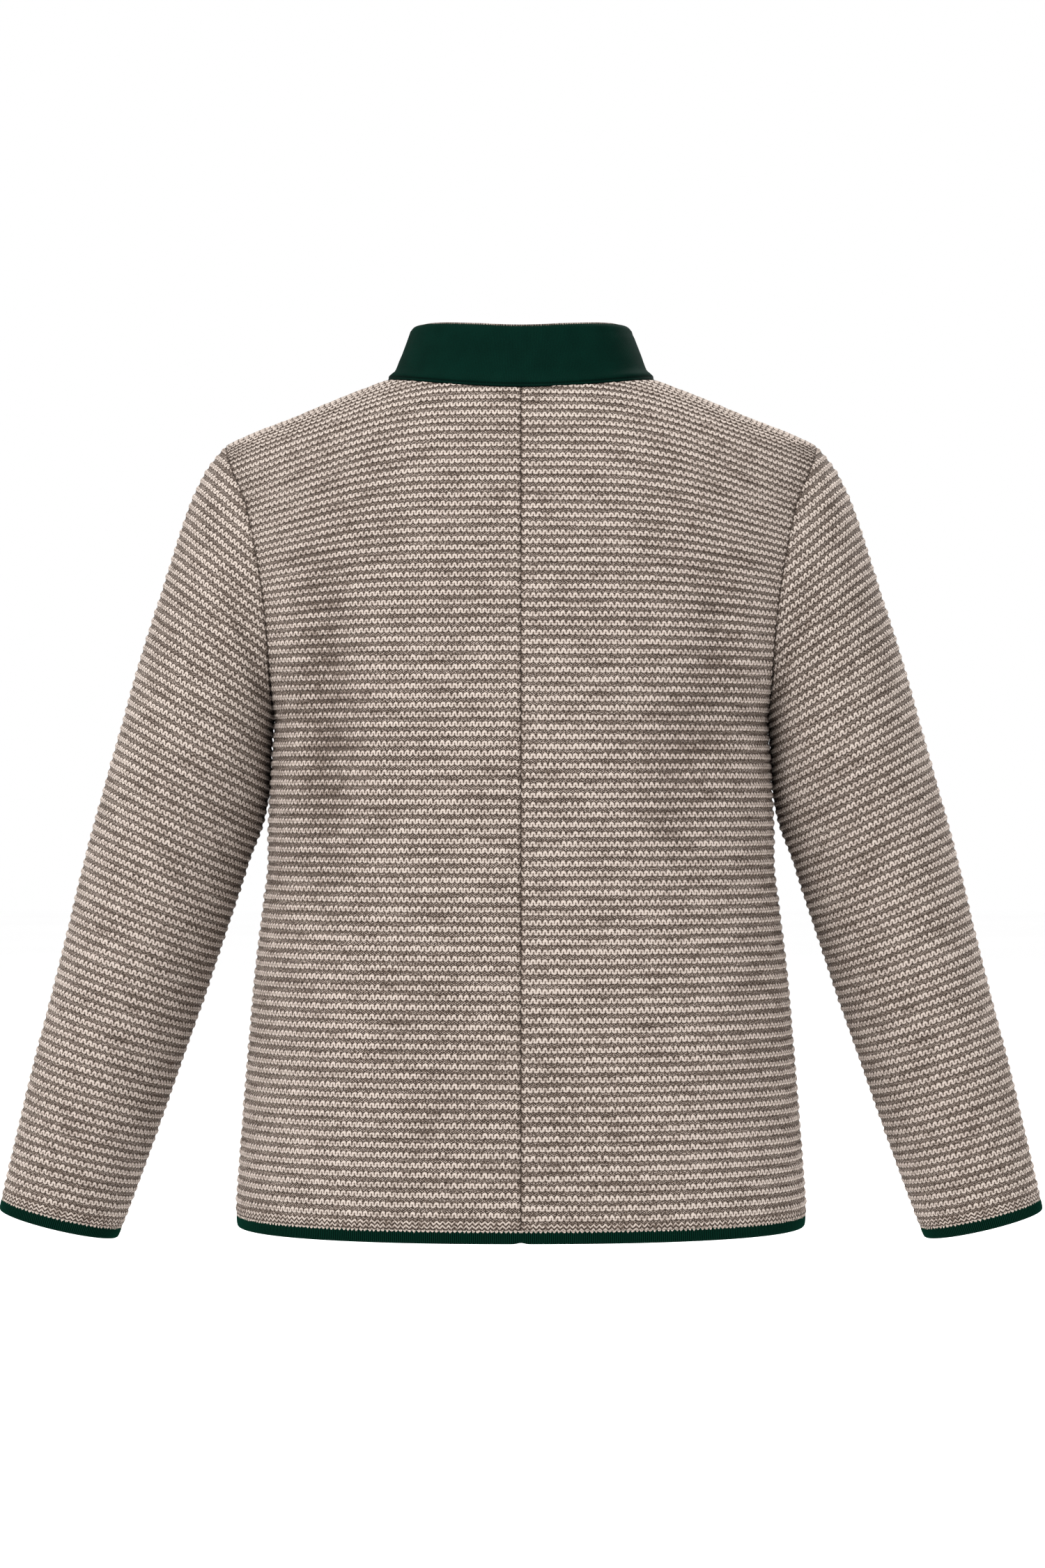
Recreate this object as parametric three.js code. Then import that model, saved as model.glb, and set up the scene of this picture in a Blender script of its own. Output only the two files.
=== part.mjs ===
// Trachten cardigan, filled out as if worn, as separate sewn pieces.
// x: the wearer's left is plus. y: the wearer's back is plus. z: up, zero at the collar seam.
import * as THREE from 'three';

// driving sizes in millimetres
const WALL = 4.0; // chunky knit
const RIB_WALL = 3.0; // edge bands
const SEAM = 0.3; // between two sewn pieces
const HALF_SEAM = SEAM / 2;
const COLLAR_LAYER = 1.9; // each of the two collar strips
const HEM_Z = -634; // lower edge of the body knit at the side
const BAND = 10; // height of hem, cuff and front bands
const NECK_HALF = 103; // half width of the neck seam at the shoulder
const NECK_SIDE_Z = 2;
const NECK_BACK_Z = -9;
const NECK_FRONT_Z = -75;
const FRONT_NECK_POWER = 2.4; // a wide round neck in front
const FRONT_EDGE = 5; // the front knit runs this far past the middle
const UNDERLAP = 6.0; // how far the right front lies behind the left one
const UNDERLAP_START = -50; // where the right front begins to slide behind
const UNDERLAP_RUN = 28; // width over which it does
const BAND_INSET = 0.4; // a band's face behind the knit at the join
const BAND_PULL = 1.4; // and at its free edge
const FRONT_BAND_FOOT = 1.0; // the foot of a front band draws in
const COLLAR_END = 1.5; // collar ends stand this far from the middle
const COLLAR_RISE = 37; // height over the shoulder
const COLLAR_BACK_RISE = 10; // added at the back
const COLLAR_FRONT_RISE = 5; // added for each turn's length towards the front
const COLLAR_FRONT_MOST = 1.5;
const COLLAR_LEAN = 19; // inward lean of the top edge
const COLLAR_BACK_LEAN = 8; // taken off at the back
const COLLAR_TURN = 70; // depth from the side at which the back values are reached
const COLLAR_DRAW = 0.9; // the lean points a little less to the middle than to the sides
const BUTTON_COUNT = 7;
const BUTTON_TOP_Z = -94;
const BUTTON_STEP = 84;
const BUTTON_RADIUS = 10;
const BUTTON_THICK = 3.6;
const BUTTON_HOLE = 1.1;
const BUTTON_HOLE_OFFSET = 2.6;
const BUTTON_SIDES = 20;
const HOLE_SIDES = 6;

// half width of the torso: z, half width (the armhole fills the stretch between -48 and -255)
const WIDTH = [
  [2, 103],
  [-4, 119],
  [-15, 147],
  [-26, 173],
  [-36, 199],
  [-48, 226],
  [-255, 188.8],
  [-300, 191.6],
  [-340, 193.5],
  [-372, 194],
  [-400, 197.5],
  [-454, 204],
  [-507, 208.5],
  [-561, 213],
  [-614, 217],
  [-634, 218],
  [-646, 216.5],
];

// depth of the torso: z, back, front, squareness
const DEPTH = [
  [2, 66, 62, 2.0],
  [-4, 70, 66, 2.0],
  [-15, 77, 73, 2.0],
  [-26, 84, 79, 2.0],
  [-36, 89.5, 85, 2.0],
  [-48, 96, 91, 2.02],
  [-75, 107, 103, 2.05],
  [-110, 118, 113, 2.1],
  [-150, 126, 120, 2.15],
  [-200, 131, 125, 2.2],
  [-255, 133, 127, 2.25],
  [-300, 133, 128, 2.3],
  [-357, 131, 128, 2.3],
  [-454, 130.5, 129, 2.3],
  [-561, 134, 132, 2.3],
  [-634, 136.5, 134.5, 2.3],
  [-646, 136, 134, 2.3],
];

// armhole from shoulder tip to underarm: z, back x, back y, front x, front y
const ARMHOLE = [
  [-48, 226, 0, 226, 0],
  [-53, 224.5, 21, 223.5, 20],
  [-68, 219.5, 40, 215, 38],
  [-91, 209, 54, 203, 50],
  [-119.5, 202, 64, 195, 58],
  [-151.5, 196, 68, 189.5, 61],
  [-183.5, 192, 66, 187.5, 59],
  [-212, 190.3, 56, 187.5, 51],
  [-235, 189.5, 40, 188.2, 37],
  [-250, 189, 21, 188.7, 20],
  [-255, 188.8, 0, 188.8, 0],
];

// sleeve rings: outer x, outer z, inner x, inner z, half depth, middle y, share of the armhole's shape
const SLEEVE = [
  [226, -48, 188.8, -255, 68, 0, 1],
  [232, -54, 189.9, -262, 68, 0, 0.82],
  [241.5, -67, 190.9, -270, 67.5, 0, 0.62],
  [252, -88, 191.7, -280, 67, 0, 0.42],
  [262, -116, 192.6, -293, 66, -1, 0.25],
  [275, -157, 194.6, -312, 65, -2, 0.1],
  [291.5, -208, 200, -337, 63.5, -3, 0],
  [306.5, -261, 208.5, -364, 61.5, -4, 0],
  [322, -315, 220, -399, 59.5, -6, 0],
  [336.5, -368, 232.5, -436, 57.5, -8, 0],
  [350, -423, 245, -473, 55.5, -11, 0],
  [364, -477, 260, -515, 53, -14, 0],
  [378.5, -532, 276, -560, 50.5, -17, 0],
  [391.5, -585, 292.5, -606, 48, -20, 0],
  [401, -625, 308.5, -648, 46, -22, 0],
];

// soft vertical troughs of the back: x, top z, bottom z, half width, depth
const TROUGHS = [
  [144, -92, -400, 22, 5.5],
  [-144, -120, -300, 20, 4],
  [-122, -215, -380, 24, 2.5],
];

// neck seam stations: half distances from the middle
const BACK_NECK_X = [103, 93, 77, 55, 29, 0];
const FRONT_NECK_X = [103, 99, 89, 71, 48, 24, COLLAR_END, -FRONT_EDGE];

// heights of the lower rows of a panel: at the middle, at the side
const BACK_LOWER = [
  [-45, -183.5],
  [-85, -212],
  [-125, -235],
  [-165, -250],
  [-208, -255],
  [-255, -285],
  [-305, -322],
  [-360, -368],
  [-415, -418],
  [-470, -471],
  [-525, -525],
  [-580, -580],
  [HEM_Z, HEM_Z],
];
const FRONT_LOWER = [
  [-118, -235],
  [-162, -250],
  [-208, -255],
  [-255, -285],
  [-305, -322],
  [-360, -368],
  [-415, -418],
  [-470, -471],
  [-525, -525],
  [-580, -580],
  [HEM_Z, HEM_Z],
];

// collar rows: share of the rise, share of the lean
const COLLAR_ROWS = [
  [0, 0],
  [0.11, 0.1],
  [0.22, 0.33],
  [0.45, 0.52],
  [0.72, 0.76],
  [1, 1],
];

const PANEL_COLUMNS = 9;
const UNDERARM_Z = -255;
const CAP_Z = -150; // the sleeve's middle line is straight above this
const SLEEVE_MIDDLE_Y = -6;
const TORSO_MIDDLE_Z = -70; // outward directions of the shoulders point away from here
const TORSO_MIDDLE_DROP = 20;
const ROW_SAG = 0.08; // how much later each lower row of a panel begins to fall
const SAG_ROWS = 6;
const TROUGH_FADE = 3; // troughs end where the torso turns to its side
const RIM_BLEND = 0.6; // walls that face each other keep their own rims
const QUARTER = Math.PI / 2;

const looks = {
  knit: { color: 0x978a80, roughness: 0.95, metalness: 0 },
  green: { color: 0x0a251c, roughness: 0.9, metalness: 0 },
  horn: { color: 0x4a3626, roughness: 0.45, metalness: 0 },
};

function makeMaterial(kind) {
  return new THREE.MeshStandardMaterial(looks[kind]);
}

// smooth value of one column of a table at a key, through every row
function readCurve(table, key, column) {
  const rising = table[table.length - 1][0] > table[0][0];
  let i = 0;
  while (i < table.length - 2 && (rising ? key > table[i + 1][0] : key < table[i + 1][0])) i += 1;
  const a = table[i];
  const b = table[i + 1];
  const before = table[Math.max(i - 1, 0)];
  const after = table[Math.min(i + 2, table.length - 1)];
  const step = b[0] - a[0];
  const t = (key - a[0]) / step;
  const slopeA = (b[column] - before[column]) / (b[0] - before[0]);
  const slopeB = (after[column] - a[column]) / (after[0] - a[0]);
  const t2 = t * t;
  const t3 = t2 * t;
  return (2 * t3 - 3 * t2 + 1) * a[column]
    + (t3 - 2 * t2 + t) * step * slopeA
    + (3 * t2 - 2 * t3) * b[column]
    + (t3 - t2) * step * slopeB;
}

// width table of one side, with the armhole's own stations filled in
function fillWidth(side) {
  const depthColumn = side === 'back' ? 1 : 2;
  const x = side === 'back' ? 1 : 3;
  const stations = ARMHOLE.slice(1, -1).map((row) => {
    const depth = readCurve(DEPTH, row[0], depthColumn);
    const power = readCurve(DEPTH, row[0], 3);
    return [row[0], row[x] / (1 - (row[x + 1] / depth) ** power) ** (1 / power)];
  });
  return [...WIDTH, ...stations].sort((a, b) => b[0] - a[0]);
}

const TORSO_WIDTH = { back: fillWidth('back'), front: fillWidth('front') };

function troughDepth(x, z) {
  let depth = 0;
  for (const [middle, top, bottom, halfWidth, deep] of TROUGHS) {
    const along = (top - z) / (top - bottom);
    if (along > 0 && along < 1) {
      depth += deep * Math.sin(Math.PI * along) * Math.exp(-(((x - middle) / halfWidth) ** 2));
    }
  }
  return depth;
}

// point of the torso at a height and an angle, 0 at the middle and a right angle at the side
function torsoPoint(side, z, angle, hand) {
  const width = readCurve(TORSO_WIDTH[side], z, 1);
  const depth = readCurve(DEPTH, z, side === 'back' ? 1 : 2);
  const share = 2 / readCurve(DEPTH, z, 3);
  const across = Math.sin(Math.abs(angle)) ** share;
  const out = Math.max(Math.cos(angle), 0) ** share;
  const x = hand * Math.sign(angle) * width * across;
  if (side === 'front') {
    return new THREE.Vector3(x, -depth * out, z);
  }
  return new THREE.Vector3(x, depth * out - troughDepth(x, z) * Math.min(1, TROUGH_FADE * out), z);
}

function angleAt(side, z, x) {
  const width = readCurve(TORSO_WIDTH[side], z, 1);
  const power = readCurve(DEPTH, z, 3);
  return Math.sign(x) * Math.asin(Math.min(1, (Math.abs(x) / width) ** (power / 2)));
}

function neckHeight(side, x) {
  if (side === 'back') {
    return NECK_BACK_Z + (NECK_SIDE_Z - NECK_BACK_Z) * (x / NECK_HALF) ** 2;
  }
  return NECK_FRONT_Z + (NECK_SIDE_Z - NECK_FRONT_Z) * (Math.abs(x) / NECK_HALF) ** FRONT_NECK_POWER;
}

function armholeAngle(side, station) {
  const row = ARMHOLE[station];
  const depth = readCurve(DEPTH, row[0], side === 'back' ? 1 : 2);
  const power = readCurve(DEPTH, row[0], 3);
  const y = row[side === 'back' ? 2 : 4];
  return Math.acos(Math.min(1, (y / depth) ** (power / 2)));
}

// rows of a panel, each from the middle or neck to the armhole or side
function panelRows(side) {
  const neck = side === 'back' ? BACK_NECK_X : FRONT_NECK_X;
  const lower = side === 'back' ? BACK_LOWER : FRONT_LOWER;
  const edge = side === 'back' ? 0 : -FRONT_EDGE;
  const rows = neck.map((x, i) => {
    const z = neckHeight(side, x);
    const onShoulder = i === 0;
    return {
      startZ: z,
      startAngle: onShoulder ? QUARTER : angleAt(side, z, x),
      endZ: ARMHOLE[i][0],
      endAngle: onShoulder ? QUARTER : armholeAngle(side, i),
    };
  });
  for (const [startZ, endZ] of lower) {
    const station = rows.length;
    const onArmhole = station < ARMHOLE.length - 1;
    rows.push({
      startZ,
      startAngle: angleAt(side, startZ, edge),
      endZ,
      endAngle: onArmhole ? armholeAngle(side, station) : QUARTER,
    });
  }
  return rows;
}

// the right front slides behind the left one near the middle
function underlapShift(x) {
  const t = THREE.MathUtils.clamp((x - UNDERLAP_START) / UNDERLAP_RUN, 0, 1);
  return UNDERLAP * t * t * (3 - 2 * t);
}

function panelGrid(side, hand) {
  const rows = panelRows(side);
  return rows.map((row, i) => {
    const line = [];
    for (let j = 0; j <= PANEL_COLUMNS; j += 1) {
      const q = j / PANEL_COLUMNS;
      const drop = q ** (1 + Math.min(i, SAG_ROWS) * ROW_SAG);
      const z = row.startZ + (row.endZ - row.startZ) * drop;
      const angle = row.startAngle + (row.endAngle - row.startAngle) * q;
      const point = torsoPoint(side, z, angle, hand);
      if (side === 'front' && hand < 0) point.y += underlapShift(point.x);
      line.push(point);
    }
    if (i < ARMHOLE.length) {
      const [z, backX, backY, frontX, frontY] = ARMHOLE[i];
      const x = side === 'back' ? backX : frontX;
      const y = side === 'back' ? backY : -frontY;
      line[PANEL_COLUMNS].set(hand * x, y, z);
    }
    return line;
  });
}

// outward directions of a grid of points, pointing away from a middle line
function gridDirections(grid, middle, wrap) {
  const last = grid.length - 1;
  return grid.map((line, i) => line.map((point, j) => {
    const end = line.length - 1;
    const left = wrap ? line[(j + end) % (end + 1)] : line[Math.max(j - 1, 0)];
    const right = wrap ? line[(j + 1) % (end + 1)] : line[Math.min(j + 1, end)];
    const across = right.clone().sub(left);
    const along = grid[Math.min(i + 1, last)][j].clone().sub(grid[Math.max(i - 1, 0)][j]);
    const direction = across.cross(along).normalize();
    if (direction.dot(point.clone().sub(middle(point))) < 0) direction.negate();
    return direction;
  }));
}

function levelOut(direction, axis) {
  direction[axis] = 0;
  return direction.normalize();
}

function insideOf(grid, directions, depth) {
  return grid.map((line, i) => line.map((p, j) => p.clone().addScaledVector(directions[i][j], -depth)));
}

// closed wall between an outer and an inner grid of points
function wallGeometry(outer, inner, wrap) {
  const rows = outer.length;
  const columns = outer[0].length;
  const points = [...outer.flat(), ...inner.flat()];
  const at = (layer, i, j) => layer * rows * columns + i * columns + (j % columns);
  const faces = [];
  const quad = (a, b, c, d) => faces.push(a, b, c, a, c, d);
  const span = wrap ? columns : columns - 1;
  for (let i = 0; i < rows - 1; i += 1) {
    for (let j = 0; j < span; j += 1) {
      quad(at(0, i, j), at(0, i + 1, j), at(0, i + 1, j + 1), at(0, i, j + 1));
      quad(at(1, i, j), at(1, i, j + 1), at(1, i + 1, j + 1), at(1, i + 1, j));
    }
  }
  for (let j = 0; j < span; j += 1) {
    quad(at(0, 0, j), at(0, 0, j + 1), at(1, 0, j + 1), at(1, 0, j));
    quad(at(0, rows - 1, j), at(1, rows - 1, j), at(1, rows - 1, j + 1), at(0, rows - 1, j + 1));
  }
  if (!wrap) {
    for (let i = 0; i < rows - 1; i += 1) {
      quad(at(0, i, 0), at(1, i, 0), at(1, i + 1, 0), at(0, i + 1, 0));
      quad(at(0, i, span), at(0, i + 1, span), at(1, i + 1, span), at(1, i, span));
    }
  }
  return solidFrom(points, faces);
}

function solidFrom(points, faces) {
  let volume = 0;
  for (let i = 0; i < faces.length; i += 3) {
    const [a, b, c] = [points[faces[i]], points[faces[i + 1]], points[faces[i + 2]]];
    volume += a.dot(b.clone().cross(c));
  }
  const order = volume < 0 ? [...faces].reverse() : faces;
  const numbers = points.flatMap((p) => [p.x, p.y, p.z]);
  const geometry = new THREE.BufferGeometry();
  geometry.setAttribute('position', new THREE.Float32BufferAttribute(numbers, 3));
  geometry.setIndex(order);
  geometry.computeVertexNormals();
  return geometry;
}

const cardigan = new THREE.Group();

function addPiece(name, geometry, kind) {
  const mesh = new THREE.Mesh(geometry, makeMaterial(kind));
  mesh.name = name;
  cardigan.add(mesh);
  return mesh;
}

const torsoMiddle = (p) => new THREE.Vector3(0, 0, Math.min(p.z - TORSO_MIDDLE_DROP, TORSO_MIDDLE_Z));

// direction of each armhole station, shared by the body and sleeve so their edges match
function armholeLoop(hand) {
  const back = ARMHOLE.map(([z, x, y]) => new THREE.Vector3(hand * x, y, z));
  const front = ARMHOLE.slice(1, -1).map(([z, , , x, y]) => new THREE.Vector3(hand * x, -y, z)).reverse();
  return [...back, ...front];
}

function sleeveGrid(hand) {
  const loop = armholeLoop(hand);
  const count = loop.length;
  const [firstOutX, firstOutZ, firstInX, firstInZ, firstDepth] = SLEEVE[0];
  return SLEEVE.map(([outX, outZ, inX, inZ, depth, y, share]) => loop.map((seat, k) => {
    const turn = (2 * Math.PI * k) / count;
    const ring = (ox, oz, ix, iz, d, middleY) => new THREE.Vector3(
      hand * ((ox + ix) / 2 + ((ox - ix) / 2) * Math.cos(turn)),
      middleY + d * Math.sin(turn),
      (oz + iz) / 2 + ((oz - iz) / 2) * Math.cos(turn),
    );
    const shift = seat.clone().sub(ring(firstOutX, firstOutZ, firstInX, firstInZ, firstDepth, 0));
    return ring(outX, outZ, inX, inZ, depth, y).addScaledVector(shift, share);
  }));
}

function sleeveMiddle(hand) {
  return (p) => {
    const z = THREE.MathUtils.clamp(p.z, SLEEVE[SLEEVE.length - 1][1], CAP_Z);
    const outer = SLEEVE.map((row) => [row[1], row[0]]);
    const inner = SLEEVE.map((row) => [row[3], row[2]]);
    const x = (readCurve(outer, z, 1) + readCurve(inner, Math.min(z, UNDERARM_Z), 1)) / 2;
    return new THREE.Vector3(hand * x, SLEEVE_MIDDLE_Y, z);
  };
}

const panels = {};
const sleeves = {};

for (const [name, hand] of [['left', 1], ['right', -1]]) {
  const sleeve = sleeveGrid(hand);
  const sleeveDirections = gridDirections(sleeve, sleeveMiddle(hand), true);
  const pieces = ['back', 'front'].map((side) => {
    const grid = panelGrid(side, hand);
    return { side, grid, directions: gridDirections(grid, torsoMiddle, false) };
  });
  const count = sleeve[0].length;
  const bodyRims = sleeve[0].map((point, k) => {
    const onBack = k < ARMHOLE.length;
    const station = onBack ? k : count - k;
    const body = (onBack ? pieces[0] : pieces[1]).directions[station][PANEL_COLUMNS].clone();
    if (k === 0 || k === ARMHOLE.length - 1) levelOut(body, 'y');
    return body;
  });
  const sleeveRims = bodyRims.map((body, k) => {
    const sleeveSide = sleeveDirections[0][k].clone();
    const share = THREE.MathUtils.smoothstep(body.dot(sleeveSide), 0, RIM_BLEND);
    const meeting = sleeveSide.clone().addScaledVector(body, share).normalize();
    body.addScaledVector(sleeveSide, share).normalize();
    return meeting;
  });
  sleeves[name] = { grid: sleeve, directions: sleeveDirections, rims: sleeveRims };
  for (const { side, grid, directions } of pieces) {
    const neckEnd = (side === 'front' ? FRONT_NECK_X : BACK_NECK_X).length - 1;
    directions.forEach((line, i) => {
      if (i < ARMHOLE.length) {
        const k = side === 'back' || i === 0 ? i : (count - i) % count;
        line[PANEL_COLUMNS].copy(bodyRims[k]);
      } else {
        levelOut(line[PANEL_COLUMNS], 'y');
      }
      if (i >= neckEnd) levelOut(line[0], 'x');
    });
    directions[0].forEach((direction) => levelOut(direction, 'y'));
    const away = side === 'back' ? HALF_SEAM : -HALF_SEAM;
    grid[0].forEach((point) => { point.y += away; });
    grid.forEach((line, i) => {
      if (i >= ARMHOLE.length - 1) line[PANEL_COLUMNS].y += away;
      if (side === 'back' && i >= neckEnd) line[0].x += hand * HALF_SEAM;
    });
    panels[`${side}_${name}`] = { grid, directions, hand };
    addPiece(`${side}_${name}`, wallGeometry(grid, insideOf(grid, directions, WALL), false), 'knit');
  }
}

// the sleeve's first ring stands a seam's width off the armhole
for (const name of ['left', 'right']) {
  const { grid, directions, rims } = sleeves[name];
  const count = rims.length;
  const seat = grid[0].map((p) => p.clone());
  grid[0].forEach((point, k) => {
    const along = seat[(k + 1) % count].clone().sub(seat[(k + count - 1) % count]);
    const away = along.cross(rims[k]).normalize();
    if (away.dot(grid[1][k].clone().sub(seat[k])) < 0) away.negate();
    point.addScaledVector(away, SEAM);
    directions[0][k].copy(rims[k]);
  });
  addPiece(`sleeve_${name}`, wallGeometry(grid, insideOf(grid, directions, WALL), true), 'knit');
}

// ribbed band that goes on from an edge of a wall in a given direction
function bandGrid(edge, directions, travel) {
  const lines = [];
  for (const [share, inward] of [[0, BAND_INSET], [1, BAND_PULL]]) {
    lines.push(edge.map((point, k) => {
      const way = travel(k);
      const far = SEAM + share * BAND;
      return point.clone().addScaledVector(way, far).addScaledVector(directions[k], -inward);
    }));
  }
  return lines;
}

function addBand(name, edge, directions, travel, wrap) {
  const grid = bandGrid(edge, directions, travel);
  const facing = grid.map(() => directions);
  addPiece(name, wallGeometry(grid, insideOf(grid, facing, RIB_WALL), wrap), 'green');
}

for (const name of ['left', 'right']) {
  for (const side of ['back', 'front']) {
    const { grid, directions } = panels[`${side}_${name}`];
    const last = grid.length - 1;
    addBand(`hem_${side}_${name}`, grid[last], directions[last], () => new THREE.Vector3(0, 0, -1), false);
  }
  const { grid, directions } = sleeves[name];
  const last = grid.length - 1;
  const count = grid[last].length;
  const middle = grid[last].reduce((sum, p) => sum.add(p), new THREE.Vector3()).divideScalar(count);
  const before = grid[last - 1].reduce((sum, p) => sum.add(p), new THREE.Vector3()).divideScalar(count);
  const axis = middle.sub(before).normalize();
  addBand(`cuff_${name}`, grid[last], directions[last], () => axis, true);
}

// front edge bands, each along the whole front edge down to the foot of the hem band
for (const name of ['left', 'right']) {
  const { grid, directions, hand } = panels[`front_${name}`];
  const first = FRONT_NECK_X.length - 1;
  const edge = grid.slice(first).map((line) => line[0].clone());
  const facing = directions.slice(first).map((line) => line[0].clone());
  const foot = edge[edge.length - 1].clone();
  foot.z -= SEAM + BAND;
  foot.y += FRONT_BAND_FOOT;
  edge.push(foot);
  facing.push(facing[facing.length - 1].clone());
  const way = new THREE.Vector3(-hand, 0, 0);
  addBand(`front_band_${name}`, edge, facing, () => way, false);
}

// collar: one outer and one inner strip, standing on the neck seam
function collarBase() {
  const stations = [];
  const take = (piece, i, flip) => {
    const { grid, directions } = panels[piece];
    stations.push({ point: grid[i][0].clone(), direction: directions[i][0].clone(), flip });
  };
  for (let i = FRONT_NECK_X.length - 2; i > 0; i -= 1) take('front_left', i);
  for (let i = 0; i < BACK_NECK_X.length; i += 1) take('back_left', i);
  for (let i = BACK_NECK_X.length - 2; i >= 0; i -= 1) take('back_right', i);
  for (let i = 1; i < FRONT_NECK_X.length - 1; i += 1) take('front_right', i);
  return stations;
}

function collarGrid() {
  const stations = collarBase();
  const middleIndex = (stations.length - 1) / 2;
  stations[middleIndex].point.x = 0;
  return stations.map(({ point, direction }, k) => {
    const before = stations[Math.max(k - 1, 0)].point;
    const after = stations[Math.min(k + 1, stations.length - 1)].point;
    const up = after.clone().sub(before).cross(direction).normalize();
    if (up.z < 0) up.negate();
    const foot = point.clone().addScaledVector(up, SEAM);
    const toBack = THREE.MathUtils.clamp(point.y / COLLAR_TURN, 0, 1);
    const toFront = THREE.MathUtils.clamp(-point.y / COLLAR_TURN, 0, COLLAR_FRONT_MOST);
    const rise = COLLAR_RISE + COLLAR_BACK_RISE * toBack + COLLAR_FRONT_RISE * toFront;
    const lean = COLLAR_LEAN - COLLAR_BACK_LEAN * toBack;
    const inward = new THREE.Vector3(-point.x, -point.y * COLLAR_DRAW, 0).normalize();
    return { foot, direction, rise, lean, inward };
  });
}

function addCollar() {
  const stations = collarGrid();
  const grid = COLLAR_ROWS.map(([up, back]) => stations.map(({ foot, rise, lean, inward }) => (
    foot.clone().addScaledVector(inward, lean * back).add(new THREE.Vector3(0, 0, rise * up))
  )));
  const directions = gridDirections(grid, (p) => new THREE.Vector3(0, 0, p.z), false);
  directions[0].forEach((direction, k) => direction.copy(stations[k].direction));
  directions[1].forEach((direction, k) => direction.add(stations[k].direction).normalize());
  const inner = insideOf(grid, directions, COLLAR_LAYER + SEAM);
  addPiece('collar_outer', wallGeometry(grid, insideOf(grid, directions, COLLAR_LAYER), false), 'green');
  addPiece('collar_inner', wallGeometry(inner, insideOf(inner, directions, COLLAR_LAYER), false), 'knit');
}

function ringPoints(x, y, radius, sides) {
  return Array.from({ length: sides }, (unused, i) => new THREE.Vector2(
    x + radius * Math.cos((2 * Math.PI * i) / sides),
    y + radius * Math.sin((2 * Math.PI * i) / sides),
  ));
}

function buttonGeometry() {
  const outline = new THREE.Shape(ringPoints(0, 0, BUTTON_RADIUS, BUTTON_SIDES));
  for (const [sx, sy] of [[1, 1], [1, -1], [-1, 1], [-1, -1]]) {
    const x = sx * BUTTON_HOLE_OFFSET;
    const y = sy * BUTTON_HOLE_OFFSET;
    outline.holes.push(new THREE.Path(ringPoints(x, y, BUTTON_HOLE, HOLE_SIDES)));
  }
  return new THREE.ExtrudeGeometry(outline, { depth: BUTTON_THICK, bevelEnabled: false });
}

// buttons lie on the left front, each square to the wall under it
function addButtons() {
  const edge = panels.front_left.grid.slice(FRONT_NECK_X.length - 1).map((line) => line[0]);
  for (let i = 0; i < BUTTON_COUNT; i += 1) {
    const z = BUTTON_TOP_Z - i * BUTTON_STEP;
    const k = edge.findIndex((point) => point.z < z);
    const up = edge[k - 1].clone().sub(edge[k]).setX(0);
    const seat = edge[k].clone().addScaledVector(up, (z - edge[k].z) / up.z);
    up.normalize();
    const out = new THREE.Vector3(0, -1, 0).addScaledVector(up, up.y).normalize();
    const right = up.clone().cross(out);
    const button = addPiece(`button_${i + 1}`, buttonGeometry(), 'horn');
    button.quaternion.setFromRotationMatrix(new THREE.Matrix4().makeBasis(right, up, out));
    button.position.copy(seat).addScaledVector(out, SEAM).setX(0);
  }
}

addCollar();
addButtons();

export default cardigan;
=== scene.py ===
import math

import bmesh
import bpy
import numpy as np
from mathutils import Matrix, Vector


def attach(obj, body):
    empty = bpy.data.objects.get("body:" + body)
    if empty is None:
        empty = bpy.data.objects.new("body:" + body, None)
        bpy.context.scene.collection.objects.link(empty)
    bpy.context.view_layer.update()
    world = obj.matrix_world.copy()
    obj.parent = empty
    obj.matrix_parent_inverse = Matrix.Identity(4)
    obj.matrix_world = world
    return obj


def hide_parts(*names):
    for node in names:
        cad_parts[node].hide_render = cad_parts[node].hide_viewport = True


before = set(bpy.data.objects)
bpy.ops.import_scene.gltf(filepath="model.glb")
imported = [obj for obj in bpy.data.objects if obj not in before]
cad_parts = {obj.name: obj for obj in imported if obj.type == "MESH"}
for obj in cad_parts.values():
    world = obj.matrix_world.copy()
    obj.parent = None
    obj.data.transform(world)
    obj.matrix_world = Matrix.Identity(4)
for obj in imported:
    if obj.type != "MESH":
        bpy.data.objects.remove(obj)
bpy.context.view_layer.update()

# All sizes below are millimetres. x: the wearer's left, y: the wearer's back, z: up from the collar seam.
# The floor, the lamps and the camera are in metres.
MM = 0.001
WALL = 4.0
INSIDE_DEPTH = WALL - 0.4   # plain inner face, below the smooth outer one
SEAM = 0.3
JOIN = -0.02          # sewn walls run this far into each other, so that no light shows between them
HEM_Z = -634.0
BAND = 10.0
NECK_HALF = 103.0
NECK_SIDE_Z = 2.0
NECK_BACK_Z = -9.0
NECK_FRONT_Z = -75.0
FRONT_NECK_POWER = 2.4    # a wide round neck in front
FRONT_EDGE = 5.0
UNDERLAP = 6.0
UNDERLAP_FROM = -50   # the right front slides behind the left one between these places
UNDERLAP_TO = -22
COLLAR_END = 1.5
COLLAR_LAYER = 1.9
COLLAR_RISE = 37.0    # height over the shoulder
COLLAR_BACK_RISE = 10.0   # added at the back
COLLAR_FRONT_RISE = 5.0   # added for each turn's length towards the front
COLLAR_LEAN = 19.0    # inward lean of the top edge
COLLAR_BACK_LEAN = 8.0    # taken off at the back
COLLAR_TURN = 70.0    # depth from the side at which the back values are reached
STITCHED_LINE = 2.4   # height of the collar's stitched line above the seam
BUTTON_COUNT = 7
BUTTON_TOP_Z = -94.0
BUTTON_STEP = 84.0
BUTTON_SEAT = 1.2     # from the front's edge line to the button's back
SHOULDER_TIP = 226.0
SHOULDER_ROW = 14.9   # where the top row would meet the middle of the back
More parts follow.
